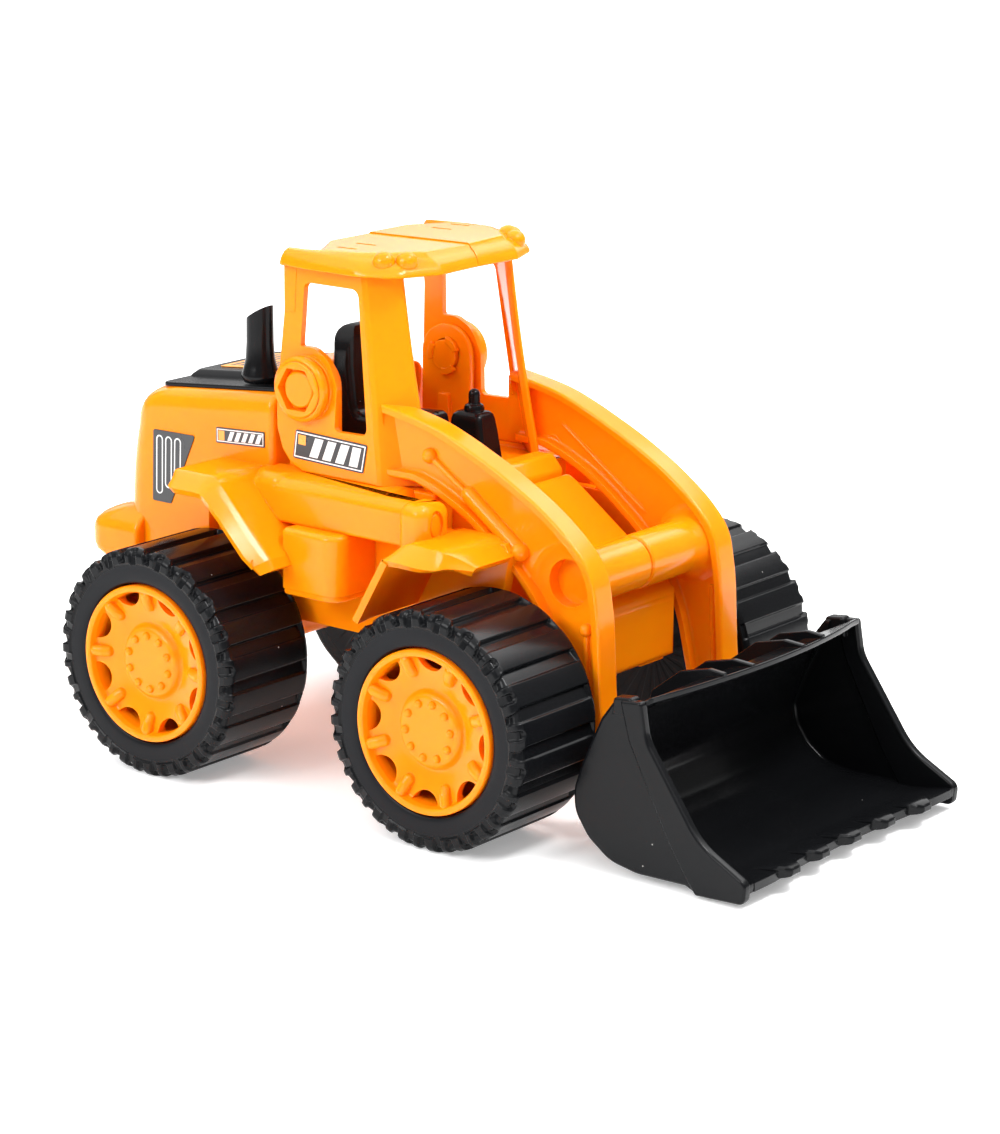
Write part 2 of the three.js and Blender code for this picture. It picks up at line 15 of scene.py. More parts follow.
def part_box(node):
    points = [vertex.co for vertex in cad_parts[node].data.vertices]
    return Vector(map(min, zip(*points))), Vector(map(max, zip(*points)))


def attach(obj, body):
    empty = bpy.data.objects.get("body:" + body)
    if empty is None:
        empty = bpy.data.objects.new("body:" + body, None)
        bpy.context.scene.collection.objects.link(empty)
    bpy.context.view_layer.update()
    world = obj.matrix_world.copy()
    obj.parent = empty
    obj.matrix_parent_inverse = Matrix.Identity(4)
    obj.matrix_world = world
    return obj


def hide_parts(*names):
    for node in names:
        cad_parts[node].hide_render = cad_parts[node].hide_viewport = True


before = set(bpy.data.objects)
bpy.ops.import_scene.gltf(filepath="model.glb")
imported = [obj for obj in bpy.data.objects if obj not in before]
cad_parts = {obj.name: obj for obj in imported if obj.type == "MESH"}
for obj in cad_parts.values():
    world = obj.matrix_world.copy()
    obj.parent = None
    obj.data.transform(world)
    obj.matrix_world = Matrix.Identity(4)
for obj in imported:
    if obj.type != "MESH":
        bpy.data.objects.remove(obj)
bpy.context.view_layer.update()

MM = 0.001
REAR_AXLE_X = sum(corner.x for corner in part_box("rear_axle")) / 2
TO_FRAME = Matrix.Translation((REAR_AXLE_X, 0, 0)) @ Matrix.Scale(MM, 4)

ARC_STEPS = 8
EDGE_STEPS = 4
SMOOTH_ANGLE = math.radians(33)
TREAD_SMOOTH_ANGLE = math.radians(80)
SIDES = (("right", -1), ("left", 1))

WHEELBASE = 134.4
AXLE_HEIGHT = 43.8
TYRE_RADIUS = 43.8
WHEEL_OUT = 91.5
WHEEL_IN = 46.7
WALL = 2.5
BASE_Z = 56
FLOOR_Z = 115
HOOD_HALF = 45.5
HOOD_SLOPE = 0.0939
HOOD_SHOULDER = 122
HOOD_ROLL = 14.4
HOOD_TOP = HOOD_SHOULDER + HOOD_ROLL
SCREW_PLACES = [(-30, -24, 135), (-30, 24, 135), (84, -24, 113), (84, 24, 113)]
STACK_AT = (6, -31)
PIVOT = (40.5, 146.9)
TUBE = (157.5, 91)
BUCKET_PIVOT = (172, 24)
CAB_HALF = 44.6
CAB_LEAN = 0.064
CAB_REF_Z = 135
CAB_TOP = 196
WEB_IN, WEB_OUT = 36.8, 39.2
FLANGE_IN, FLANGE_OUT = 32.7, 43.3


# ------------------------------------------------------------------ outlines
def rounded(points, steps=ARC_STEPS):
    """A closed anticlockwise loop through (a, b) or (a, b, radius) corners, with round ones as arcs."""
    corners = [Vector(p[:2]) for p in points]
    loop = []
    for index, point in enumerate(points):
        corner = corners[index]
        back = corners[index - 1] - corner
        ahead = corners[(index + 1) % len(points)] - corner
        half = back.angle(ahead) / 2
        if len(point) < 3 or not point[2] or half > 1.55:
            loop.append(corner)
            continue
        reach = min(point[2] / math.tan(half), 0.48 * back.length, 0.48 * ahead.length)
        radius = reach * math.tan(half)
        centre = corner + (back.normalized() + ahead.normalized()).normalized() * radius / math.sin(half)
        start = corner + back.normalized() * reach - centre
        end = corner + ahead.normalized() * reach - centre
        turn = math.atan2(start.x * end.y - start.y * end.x, start.dot(end))
        for k in range(steps + 1):
            angle = turn * k / steps
            cos, sin = math.cos(angle), math.sin(angle)
            loop.append(centre + Vector((start.x * cos - start.y * sin, start.x * sin + start.y * cos)))
    area = sum(a.x * b.y - b.x * a.y for a, b in zip(loop, loop[1:] + loop[:1]))
    return loop if area > 0 else loop[::-1]


def inset(loop, distance):
    """The anticlockwise loop moved inwards, mitred at its corners."""
    if not distance:
        return loop
    moved = []
    for index, point in enumerate(loop):
        before = (point - loop[index - 1]).normalized()
        after = (loop[(index + 1) % len(loop)] - point).normalized()
        normal = Vector((-before.y - after.y, before.x + after.x)).normalized()
        spread = max(normal.dot(Vector((-before.y, before.x))), 0.5)
        moved.append(point + normal * distance / spread)
    return moved


def arc(centre, radius, start, end, steps=12):
    """Points on an arc, its angles in degrees."""
    angles = [math.radians(start + (end - start) * k / steps) for k in range(steps + 1)]
    return [(centre[0] + radius * math.cos(a), centre[1] + radius * math.sin(a)) for a in angles]


def rect(a0, a1, b0, b1, radius=0):
    """The corners of a rectangle, all with one radius."""
    return [(a, b, radius) for a, b in ((a0, b0), (a1, b0), (a1, b1), (a0, b1))]


def quarter(steps):
    """The angles of a quarter turn."""
    return [math.pi / 2 * k / steps for k in range(steps + 1)]


def level(loop, z):
    """A flat outline as a ring of points at one height."""
    return [(p.x, p.y, z) for p in loop]


def plain(radius, low, high):
    """The lathe profile of a plain cylinder."""
    return [(0, low), (radius, low), (radius, high), (0, high)]


def oval(a, b, half_width, half_height):
    """Points round an ellipse."""
    turns = [2 * math.pi * k / 28 for k in range(28)]
    return [(a + half_width * math.cos(t), b + half_height * math.sin(t)) for t in turns]


# ------------------------------------------------------------------ solids
PLACES = {
    "x": lambda a, b, c: (c, a, b),
    "y": lambda a, b, c: (a, c, b),
    "z": lambda a, b, c: (a, b, c),
}


def linked(name, data):
    """A new object in the scene."""
    item = bpy.data.objects.new(name, data)
    bpy.context.scene.collection.objects.link(item)
    return item


def solid(vertices, faces):
    """A mesh object with its faces turned outwards."""
    mesh = bpy.data.meshes.new("solid")
    mesh.from_pydata([tuple(v) for v in vertices], [], faces)
    work = bmesh.new()
    work.from_mesh(mesh)
    bmesh.ops.recalc_face_normals(work, faces=work.faces)
    work.to_mesh(mesh)
    work.free()
    return linked("solid", mesh)


def loft(rings):
    """A closed solid through rings of points with equal counts, capped at both ends."""
    count = len(rings[0])
    faces = [list(range(count)), list(range((len(rings) - 1) * count, len(rings) * count))]
    for row in range(len(rings) - 1):
        for i in range(count):
            low, low_next = row * count + i, row * count + (i + 1) % count
            faces.append((low, low_next, low_next + count, low + count))
    return solid([v for ring in rings for v in ring], faces)


def prism(axis, points, low, high, edge=0.0, low_edge=None):
    """An outline carried along an axis from low to high, with its two rims rounded."""
    low, high = min(low, high), max(low, high)
    loop = rounded(points)
    rings = []
    for end, radius, inward in ((low, edge if low_edge is None else low_edge, 1), (high, edge, -1)):
        band = []
        for angle in quarter(EDGE_STEPS) if radius else [0]:
            shrink = radius * (1 - math.sin(angle))
            along = end + inward * radius * (1 - math.cos(angle))
            band.append([PLACES[axis](p.x, p.y, along) for p in inset(loop, shrink)])
        rings += band if inward > 0 else band[::-1]
    return loft(rings)


def block(x0, x1, y0, y1, z0, z1, edge=0.0):
    """A box with rounded edges all round."""
    return prism("z", rect(x0, x1, y0, y1, edge), z0, z1, edge)


def lathe(profile, segments):
    """A body of revolution about Y from (radius, y) points that start and end on the axis or close up."""
    vertices, rows = [], []
    for radius, y in profile:
        count = segments if radius > 1e-6 else 1
        rows.append(list(range(len(vertices), len(vertices) + count)))
        for k in range(count):
            angle = 2 * math.pi * k / segments
            vertices.append((radius * math.cos(angle), y, radius * math.sin(angle)))
    faces = []
    closed = profile[0][0] > 1e-6
    pairs = list(zip(rows, rows[1:] + rows[:1])) if closed else list(zip(rows, rows[1:]))
    for low, high in pairs:
        for k in range(segments):
            ends = [low[k % len(low)], low[(k + 1) % len(low)], high[(k + 1) % len(high)], high[k % len(high)]]
            face = [v for i, v in enumerate(ends) if v not in ends[:i]]
            if len(face) > 2:
                faces.append(face)
    return solid(vertices, faces)


def moved(item, offset=(0, 0, 0), turn=None):
    """The object itself, turned and then shifted."""
    matrix = Matrix.Translation(offset) @ (turn.to_4x4() if turn else Matrix.Identity(4))
    item.data.transform(matrix)
    return item


def rod(x, z, radius, y0, y1, edge=0.0, segments=48):
    """A cylinder along Y with rounded ends."""
    low, high = min(y0, y1), max(y0, y1)
    profile = plain(radius, low, high)
    if edge:
        rim_points = [
            (radius - edge + edge * math.sin(a), low + edge - edge * math.cos(a)) for a in quarter(EDGE_STEPS)
        ]
        profile = [(0, low), *rim_points, *[(r, low + high - y) for r, y in rim_points[::-1]], (0, high)]
    return moved(lathe(profile, segments), (x, 0, z))


def ball(centre, radius):
    """A sphere of revolution about Y."""
    profile = [(0, -radius), *arc((0, 0), radius, -90, 90)[1:-1], (0, radius)]
    return moved(lathe(profile, 24), centre)


def upright(x, y, profile, segments=32):
    """A body of revolution about a vertical axis from (radius, z) points."""
    return moved(lathe(profile, segments), (x, y, 0), Matrix.Rotation(math.pi / 2, 3, "X"))


def bone(start, end, profile):
    """A body of revolution between two points, from (radius, share of the length) points."""
    start, end = Vector(start), Vector(end)
    span = end - start
    turned = lathe([(r, share * span.length) for r, share in profile], 20)
    return moved(turned, start, Vector((0, 1, 0)).rotation_difference(span).to_matrix())


def sheet(rows, thickness):
    """A closed solid under a grid of surface points, offset downwards along the surface's normals."""
    grid = np.array(rows, float)
    along = np.gradient(grid, axis=0)
    across = np.gradient(grid, axis=1)
    normal = np.cross(along, across)
    normal /= np.linalg.norm(normal, axis=2, keepdims=True)
    if normal[..., 2].sum() < 0:
        normal = -normal
    lower = grid - normal * thickness
    high, wide = grid.shape[:2]
    vertices = [*grid.reshape(-1, 3), *lower.reshape(-1, 3)]
    index = np.arange(high * wide).reshape(high, wide)
    faces = []
    for i in range(high - 1):
        for j in range(wide - 1):
            quad = [index[i, j], index[i + 1, j], index[i + 1, j + 1], index[i, j + 1]]
            faces.append([int(v) for v in quad])
            faces.append([int(v) + high * wide for v in quad[::-1]])
    border = [*index[0, :], *index[1:, -1], *index[-1, -2::-1], *index[-2:0:-1, 0]]
    for a, b in zip(border, border[1:] + border[:1]):
        faces.append([int(a), int(b), int(b) + high * wide, int(a) + high * wide])
    return solid(vertices, faces)


def baked(item, used=()):
    """The object with its modifiers applied, and the tools they used deleted."""
    graph = bpy.context.evaluated_depsgraph_get()
    mesh = bpy.data.meshes.new_from_object(item.evaluated_get(graph))
    item.modifiers.clear()
    item.data = mesh
    for tool in used:
        bpy.data.objects.remove(tool)
    return item


def copy_of(item):
    """A second object with a mesh of its own."""
    twin = item.copy()
    twin.data = item.data.copy()
    bpy.context.scene.collection.objects.link(twin)
    return twin


def boolean(base, tools, operation):
    """The base joined or cut with each tool in turn; the tools are used up."""
    for tool in tools:
        step = base.modifiers.new("step", "BOOLEAN")
        step.operation = operation
        step.solver = "MANIFOLD"
        step.object = tool
    return baked(base, tools)


def union(first, *others):
    return boolean(first, others, "UNION")


def cut(base, *tools):
    return boolean(base, tools, "DIFFERENCE")


def common(base, *tools):
    return boolean(base, tools, "INTERSECT")


def bevelled(item, width, segments, angle):
    """Rounds every edge sharper than the angle."""
    step = item.modifiers.new("bevel", "BEVEL")
    step.width = width
    step.segments = segments
    step.limit_method = "ANGLE"
    step.angle_limit = math.radians(angle)
    return baked(item)


def on_side(item, side):
    """A piece drawn for the left side, mirrored across the centre plane if it goes on the right."""
    if side < 0:
        item.data.transform(Matrix.Scale(-1, 4, (0, 1, 0)))
        item.data.flip_normals()
    return item


def both(item):
    """The piece and its mirror image."""
    return item, on_side(copy_of(item), -1)


# ------------------------------------------------------------------ materials
def material(name):
    """A new node material: the material, its shader, a helper that adds a node and one that links sockets."""
    made = bpy.data.materials.new(name)
    made.use_nodes = True
    shader = made.node_tree.nodes["Principled BSDF"]

    def node(kind, **values):
        item = made.node_tree.nodes.new(kind)
        for key, value in values.items():
            if key in item.inputs:
                item.inputs[key].default_value = value
            else:
                setattr(item, key, value)
        return item

    return made, shader, node, made.node_tree.links.new


def put(item, values):
    """Sets the inputs of a node by name or number."""
    for key, value in values.items():
        item.inputs[key].default_value = value


def speckle(node, link, scale, low, high):
    """A smooth noise in object space, spread between two values."""
    where = node("ShaderNodeTexCoord")
    noise = node("ShaderNodeTexNoise", Scale=scale, Detail=4.0, Roughness=0.6)
    spread = node("ShaderNodeMapRange")
    put(spread, {"From Min": 0.3, "From Max": 0.7, "To Min": low, "To Max": high})
    link(where.outputs["Object"], noise.inputs["Vector"])
    link(noise.outputs["Fac"], spread.inputs["Value"])
    return noise, spread


def moulded(name, color, shade, roughness, bump=0.06, bump_scale=260, edge=0.00035):
    """Moulded plastic: a slight flow variation in colour and gloss, a fine orange peel and eased edges."""
    made, shader, node, link = material(name)
    _, gloss = speckle(node, link, 45, roughness * 0.82, roughness * 1.2)
    link(gloss.outputs["Result"], shader.inputs["Roughness"])
    _, flow = speckle(node, link, 9, 0, 1)
    mix = node("ShaderNodeMix", data_type="RGBA")
    put(mix, {"A": (*color, 1), "B": (*shade, 1)})
    link(flow.outputs["Result"], mix.inputs["Factor"])
    link(mix.outputs["Result"], shader.inputs["Base Color"])
    peel, _ = speckle(node, link, bump_scale, 0, 1)
    relief = node("ShaderNodeBump", Strength=bump, Distance=0.0004)
    link(peel.outputs["Fac"], relief.inputs["Height"])
    if edge:
        easing = node("ShaderNodeBevel", samples=4)
        put(easing, {"Radius": edge})
        link(easing.outputs["Normal"], relief.inputs["Normal"])
    link(relief.outputs["Normal"], shader.inputs["Normal"])
    put(shader, {"IOR": 1.5})
    return made, shader, node, link


def body_plastic():
    made, shader, _, _ = moulded("body_plastic", (0.98, 0.25, 0.002), (0.96, 0.226, 0.0015), 0.15)
    put(shader, {
        "Subsurface Weight": 0.42, "Subsurface Radius": (1.0, 0.2, 0.02), "Subsurface Scale": 0.0055,
        "Specular IOR Level": 0.22,
    })
    return made


def dusty_black(name, color, roughness, bump):
    """Black plastic with a few pale dust specks."""
    made, shader, node, link = moulded(name, color, tuple(c * 1.5 for c in color), roughness, bump, 420)
    where = node("ShaderNodeTexCoord")
    cells = node("ShaderNodeTexVoronoi", Scale=190.0)
    dot = node("ShaderNodeMath", operation="LESS_THAN")
    put(dot, {1: 0.05})
    sparse = node("ShaderNodeMath", operation="GREATER_THAN")
    put(sparse, {1: 0.8})
    both_true = node("ShaderNodeMath", operation="MULTIPLY")
    mix = node("ShaderNodeMix", data_type="RGBA")
    put(mix, {"B": (0.35, 0.34, 0.32, 1)})
    link(where.outputs["Object"], cells.inputs["Vector"])
    link(cells.outputs["Distance"], dot.inputs[0])
    link(cells.outputs["Color"], sparse.inputs[0])
    link(dot.outputs["Value"], both_true.inputs[0])
    link(sparse.outputs["Value"], both_true.inputs[1])
    link(both_true.outputs["Value"], mix.inputs["Factor"])
    put(shader, {"Specular IOR Level": 0.14})
    base = shader.inputs["Base Color"].links[0].from_socket
    link(base, mix.inputs["A"])
    link(mix.outputs["Result"], shader.inputs["Base Color"])
    return made


def steel():
    """Drawn steel with fine lines round the rod."""
    made, shader, node, link = material("steel")
    where = node("ShaderNodeTexCoord")
    stretch = node("ShaderNodeMapping")
    put(stretch, {"Scale": (60, 2600, 60)})
    lines = node("ShaderNodeTexNoise", Scale=1.0, Detail=3.0)
    relief = node("ShaderNodeBump", Strength=0.25, Distance=0.0002)
    link(where.outputs["Object"], stretch.inputs["Vector"])
    link(stretch.outputs["Vector"], lines.inputs["Vector"])
    link(lines.outputs["Fac"], relief.inputs["Height"])
    link(relief.outputs["Normal"], shader.inputs["Normal"])
    put(shader, {"Base Color": (0.6, 0.61, 0.63, 1), "Metallic": 1, "Roughness": 0.28})
    return made


BODY = body_plastic()
BLACK = dusty_black("black_plastic", (0.0035, 0.0037, 0.0042), 0.2, 0.03)
TREAD = dusty_black("tyre_tread", (0.0035, 0.0038, 0.0044), 0.22, 0.03)
SIDEWALL = dusty_black("tyre_sidewall", (0.0032, 0.0036, 0.0048), 0.36, 0.04)
STEEL = steel()
INK_DARK = moulded("ink_dark", (0.028, 0.028, 0.031), (0.034, 0.034, 0.037), 0.3, 0.03, 900, 0)[0]
INK_WHITE = moulded("ink_white", (0.82, 0.81, 0.79), (0.78, 0.77, 0.75), 0.32, 0.03, 900, 0)[0]
INK_ORANGE = moulded("ink_orange", (0.93, 0.36, 0.05), (0.9, 0.33, 0.045), 0.3, 0.03, 900, 0)[0]
INKS = (INK_DARK, INK_WHITE, INK_ORANGE)
DARK, WHITE, ORANGE = range(len(INKS))
LOOKS = {
    "body_plastic": (BODY,), "black_plastic": (BLACK,), "tyre_plastic": (TREAD, SIDEWALL), "steel": (STEEL,),
    "dark_label": INKS, "orange_label": INKS,
}


def place(item, name, body, slot, *nodes):
    """Moves a finished piece into the frame, gives it its looks, hangs it on its body and hides the parts it replaces.
    """
    mesh = item.data
    mesh.transform(TO_FRAME)
    item.name = mesh.name = name
    indices = [polygon.material_index for polygon in mesh.polygons]
    mesh.materials.clear()
    for made in LOOKS[slot]:
        mesh.materials.append(made)
    if len(LOOKS[slot]) > 1:
        mesh.polygons.foreach_set("material_index", indices)
    mesh.shade_smooth()
    mesh.set_sharp_from_angle(angle=TREAD_SMOOTH_ANGLE if slot == "tyre_plastic" else SMOOTH_ANGLE)
    normals = item.modifiers.new("normals", "WEIGHTED_NORMAL")
    normals.keep_sharp = True
    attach(item, body)
    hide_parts(*nodes)
    return item


# ------------------------------------------------------------------ upper body
def hood_rise(x):
    """How far the hood's sloped top stands above its height at x = -38."""
    return HOOD_SLOPE * (x + 38)


def rectangle(x0, x1, half, back_radius, front_radius):
    """A plan outline, symmetric about the centre plane."""
    return rounded([
        (x0, -half, back_radius), (x1, -half, front_radius), (x1, half, front_radius), (x0, half, back_radius)
    ])


def hood(shrink=0.0):
    """The engine hood: upright walls that lean in at the back and roll over into a sloped top."""
    levels = [
        (40, -53.8, 0), (89, -53.8, 0), (103, -52.9, 0), (112, -51.8, 0), (118, -50.7, 0), (HOOD_SHOULDER, -49.8, 0)
    ]
    for k in range(1, 11):
        angle = math.pi / 2 * k / 10
        side = 0 if k < 4 else 6.5 * (1 - math.cos(math.pi / 2 * (k - 3) / 7))
        levels.append((HOOD_SHOULDER + HOOD_ROLL * math.sin(angle), -49.8 + 13 * (1 - math.cos(angle)), side))
    rings = []
    for z, back, side in levels:
        loop = rectangle(back + shrink, 24.5 - shrink, HOOD_HALF - side - shrink, 11, 2.5)
        top = z - (shrink if z > 100 else 0)
        rings.append([(p.x, p.y, top + hood_rise(p.x) * min(1, (z - 40) / 60)) for p in loop])
    return loft(rings)


def bumper():
    """The rear bumper, its top and bottom rolled over."""
    levels = [
        (65, -62.6, 46), (67, -66.5, 48.6), (69.5, -69.6, 49.8), (72, -70.5, 50), (78.5, -70.5, 50),
        (81, -69.6, 49.4), (83.5, -67, 47.8), (85.3, -63.5, 46), (86.8, -59, 44.4), (87.8, -54, 43), (88.2, -50, 42)
    ]
    return loft([level(rectangle(back, -42, half, 10, 2), z) for z, back, half in levels])


def side_band():
    """The rounded sill under the cab wall, one side, its top sloping outwards."""
    plan = [
        (20.5, 38), (89, 38), (89, 47), (104, 47), (104, 52, 3), (98, 55.5, 8), (22.2, 55.5, 5), (20.5, 50, 3)
    ]
    item = prism("z", plan, 97.5, FLOOR_Z, 4.4, 1.4)
    for v in item.data.vertices:
        if v.co.z > 106:
            v.co.z -= 0.16 * (v.co.y - 46.2)
    return item


def tank():
    """The box tank under the sill, on a slightly smaller foot."""
    plan = [(42.6, 38), (70, 38), (70, 62, 7.5), (42.6, 62, 2.4)]
    foot = [(43, 38), (69.5, 38), (69.5, 61.5, 7.2), (43, 61.5, 2.2)]
    return union(prism("z", plan, 74.6, 97.7, 2.3, 0.5), prism("z", foot, 72.3, 76, 0.4, 1.2))


def fender(path, width, drops, crease, plumb=False):
    """A plate along the path, flat inside the crease and falling to the lip outside it.

    The lip falls square to the plate, or straight down if plumb is set.
    """
    rows = []
    for index, ((x, z), outer, drop) in enumerate(zip(path, width, drops)):
        before, after = Vector(path[max(index - 1, 0)]), Vector(path[min(index + 1, len(path) - 1)])
        along = (after - before).normalized()
        down_x, down_z = (0, -drop) if plumb else (along.y * drop, -along.x * drop)
        fold = min(crease, outer - 2.5)
        row = [(x, 42, z), (x, 58, z), (x, fold - 1.2, z), (x + down_x * 0.06, fold + 0.6, z + down_z * 0.06)]
        for share in (0.4, 0.7, 0.93, 1.0):
            row.append((x + down_x * share, fold + (outer - fold) * share, z + down_z * share))
        rows.append(row)
    return bevelled(sheet(rows, 2.8), 0.9, 3, 50)


def rear_fender():
    """A plate over the rear tyre with a rounded rear end and a leg down its front."""
    outline = rounded([(0.3, 115), (19.8, 115, 10), (46.2, 87.9, 3), (48.4, 84.4), (0, 70), (0, 80)], 10)
    path = [tuple(p) for p in outline if p.x > 10 and p.y > 83]
    path += [(30, 104.6), (36, 98.4), (42, 92.2)]
    path = sorted(path, key=lambda p: p[0] - p[1])
    tip = quarter(6)
    path = [(-0.4 + 5 * (1 - math.cos(a)), 115) for a in tip] + [(8, 115)] + path
    width = [74 + 5 * math.sin(a) for a in tip] + [79] * (len(path) - 7)
    width = [w - 0.07 * max(0, x - 42) ** 2 for w, (x, _) in zip(width, path)]
    drops = [5.2 if x < 18 else max(3.4, 5.2 - (x - 18) * 0.2) for x, _ in path]
    return fender(path, width, drops, 71.5)


def front_fender():
    """A plate over the front tyre with a leg down its rear; its lip runs inwards at the front."""
    outline = rounded([(92.6, 76), (109, 105, 9), (130.4, 105, 12), (137.8, 98.9), (137.8, 40), (92.6, 40)], 8)
    path = [tuple(p) for p in outline if p.y > 70]
    path = sorted(path + [(97, 83.8), (101.5, 91.8), (117, 105), (119.5, 105), (122, 105), (124.2, 105)])
    path = [p for p in path if p[1] > 75]
    width = [80 - 12.5 * max(0, (x - 113) / 24.8) ** 2.2 for x, _ in path]
    stations, heights = [92, 112, 117, 122, 127, 131, 138], [99.8, 99.6, 99.2, 98.5, 98.2, 99, 98.6]
    lip = np.interp([x for x, _ in path], stations, heights)
    drops = [max(0.8, z - low) for (_, z), low in zip(path, lip)]
    return fender(path, width, drops, 72.5, plumb=True)


def fender_post():
    """The upright wall under the front fender's inner edge."""
    return prism("y", [(92, 60), (129, 60), (137.4, 98.5), (135, 103), (92, 104)], 41, 46, 0.5)


def lamp_block():
    """A headlamp housing at the sill's front end, with an oval lens in a recess."""
    plan = [(101.5, 51), (114.3, 51, 3), (114.3, 67, 4.5), (101.5, 67, 5)]
    item = prism("z", plan, 100, 117, 4.4, 0)
    lens = prism("x", oval(58.8, 109, 3.7, 5.4), 113.3, 117)
    ring = prism("x", oval(58.8, 109, 2.6, 4.3), 111, 113.8, 0.4)
    return union(cut(item, lens), ring)


def nose():
    """The sloped front between the arms, with a cowl above it and two round tabs on its face."""
    profile = [
        (90, 50), (158.5, 50, 3), (158.5, 74.5, 6), (137, 90.6), (111, 109.4), (106.6, 111.8, 2.5), (103.6, 108.5),
        (90, 108)
    ]
    plan = [(88, -29.5), (158.5, -29.5, 5), (158.5, 29.5, 5), (88, 29.5)]
    body = common(prism("y", profile, -29.5, 29.5, 1.6), prism("z", plan, 40, 120))
    cowl_side = [(88, 106), (105, 106), (105.6, 113, 3), (101, 118.6, 3.5), (93.5, 118.6, 3), (88, 113.5)]
    cowl = prism("y", cowl_side, -29, 29, 3)
    tabs = [prism("x", arc((y, 54), 8.4, 0, 360, 32)[:-1], 153, 157.4, 0.8) for y in (-14.5, 14.5)]
    return union(body, cowl, *tabs)


def pivot_ear():
    """The upright plate that holds a pivot plug, with a rib on its inner face."""
    outline = [(28.5, 108), (52.5, 108), (52.5, 158.9, 12), (28.5, 158.9, 12)]
    ear = prism("y", outline, 37.7, 40.5, 0.7)
    rib = prism("y", [(36, 108), (45, 108), (43, 132, 1), (38, 132, 1)], 35.6, 38.4, 0.5)
    return cut(union(ear, rib), rod(*PIVOT, 6.5, 30, 45))


def fender_seat():
    """The rounded shoulder where the sill runs into the rear fender."""
    rings = []
    for angle in quarter(6):
        shrink = 3.4 * (1 - math.cos(angle))
        loop = inset(rounded([(18, 40), (44, 40), (36, 55.5, 5), (26, 55.5, 7), (20, 50, 5)]), shrink)
        rings.append(level(loop, 110.6 + 4.6 * math.sin(angle)))
    rings.insert(0, [(x, y, 98) for x, y, _ in rings[0]])
    return loft(rings)


def upper_body():
    """The body moulding: an outer shell, hollowed from below, with four screw bosses."""
    sides = []
    for part in (
        side_band(), tank(), rear_fender(), front_fender(), fender_post(), lamp_block(), pivot_ear(), fender_seat(),
        block(90, 97, 38, 46, 62, 104, 1),
    ):
        sides += both(part)
    shell = union(
        hood(),
        block(-30, 98, -40, 40, 50, FLOOR_Z - 0.4, 1.2),
        bumper(),
        nose(),
        block(13.5, 25.5, -17, 17, 130, 150.4, 2.6),
        *sides,
    )
    under = cut(block(-80, 170, -60, 60, 20, BASE_Z), block(99, 170, -35, 35, 10, 60))
    under_nose = block(99, 170, -60, 60, 20, 50)
    arch = both(block(-8, 30, 40, 52, 30, 111.6))
    hollow = [
        cut(hood(WALL), *both(block(-10.5, 30, 37.4, 52, 20, 114.2))),
        block(-28, 95.5, -37.5, 37.5, 30, 112),
        block(90, 156, -27, 27, 30, 70),
        block(-67, -56, -45, 45, 50, 82, 2),
        *both(block(45, 67.5, 36, 59.5, 75.6, 95.2)),
    ]
    body = cut(shell, under, under_nose, *arch, *hollow)
    bosses = [upright(x, y, plain(4.5, 62, top)) for x, y, top in SCREW_PLACES]
    bores = [upright(x, y, plain(1.7, 50, 80), 16) for x, y, _ in SCREW_PLACES]
    return cut(union(body, *bosses), *bores)


# ------------------------------------------------------------------ base
def lower_frame():
    """The pan that closes the body: three plates, stiffening ribs and the axle housings."""
    low, high = BASE_Z + 1, BASE_Z + 1 + WALL
    pan = prism("z", rect(-29, 95, -37.2, 37.2), low, high, 0.6)
    tail = prism("z", [(-51, -42.6, 9), (-11, -42.6, 1), (-11, 42.6, 1), (-51, 42.6, 9)], low, high, 0.6)
    tongue = prism("z", [(90, -26.6), (155.4, -26.6, 3), (155.4, 26.6, 3), (90, 26.6)], low, high, 0.6)
    ribs = [block(15 + 18 * k, 17 + 18 * k, -30, 30, 53, 58, 0.6) for k in range(4)]
    ribs.append(block(12, 90, -1, 1, 53, 58, 0.6))
    housings = []
    for x, reach in ((0, 37.2), (WHEELBASE, 10)):
        profile = [(x - 8, 58), (x - 8, 36.8, 6), (x + 8, 36.8, 6), (x + 8, 58)]
        housings.append(prism("y", profile, -reach, reach, 1.2))
    bores = [rod(x, AXLE_HEIGHT, 2.7, -50, 50) for x in (0, WHEELBASE)]
    holes = [upright(x, y, plain(1.9, 50, 70), 20) for x, y, _ in SCREW_PLACES]
    return cut(union(pan, tail, tongue, *ribs, *housings), *bores, *holes)


def base_screw(x, y):
    """A cross-head screw, its thread as plain rings."""
    head = [(0, 54.3), (2.3, 54.4), (3.0, 55), (3.2, 55.7), (3.2, BASE_Z + 0.7), (1.4, BASE_Z + 0.7)]
    thread = []
    for k in range(14):
        z = BASE_Z + 1.5 + k * 1.25
        thread += [(1.15, z), (1.45, z + 0.5), (1.15, z + 1.0)]
    screw = upright(x, y, head + thread + [(0.9, 75), (0, 75.6)], 24)
    slots = [block(-3, 3, -0.35, 0.35, 53.8, 55.1), block(-0.35, 0.35, -3, 3, 53.8, 55.1)]
    return cut(screw, *[moved(s, (x, y, 0)) for s in slots])


# ------------------------------------------------------------------ fittings
def on_hood(item, lift=0.0):
    """Lays a shape that is drawn flat, from z = 0, on the hood's sloped top."""
    for v in item.data.vertices:
        v.co.z += HOOD_TOP + lift + hood_rise(v.co.x)
    return item


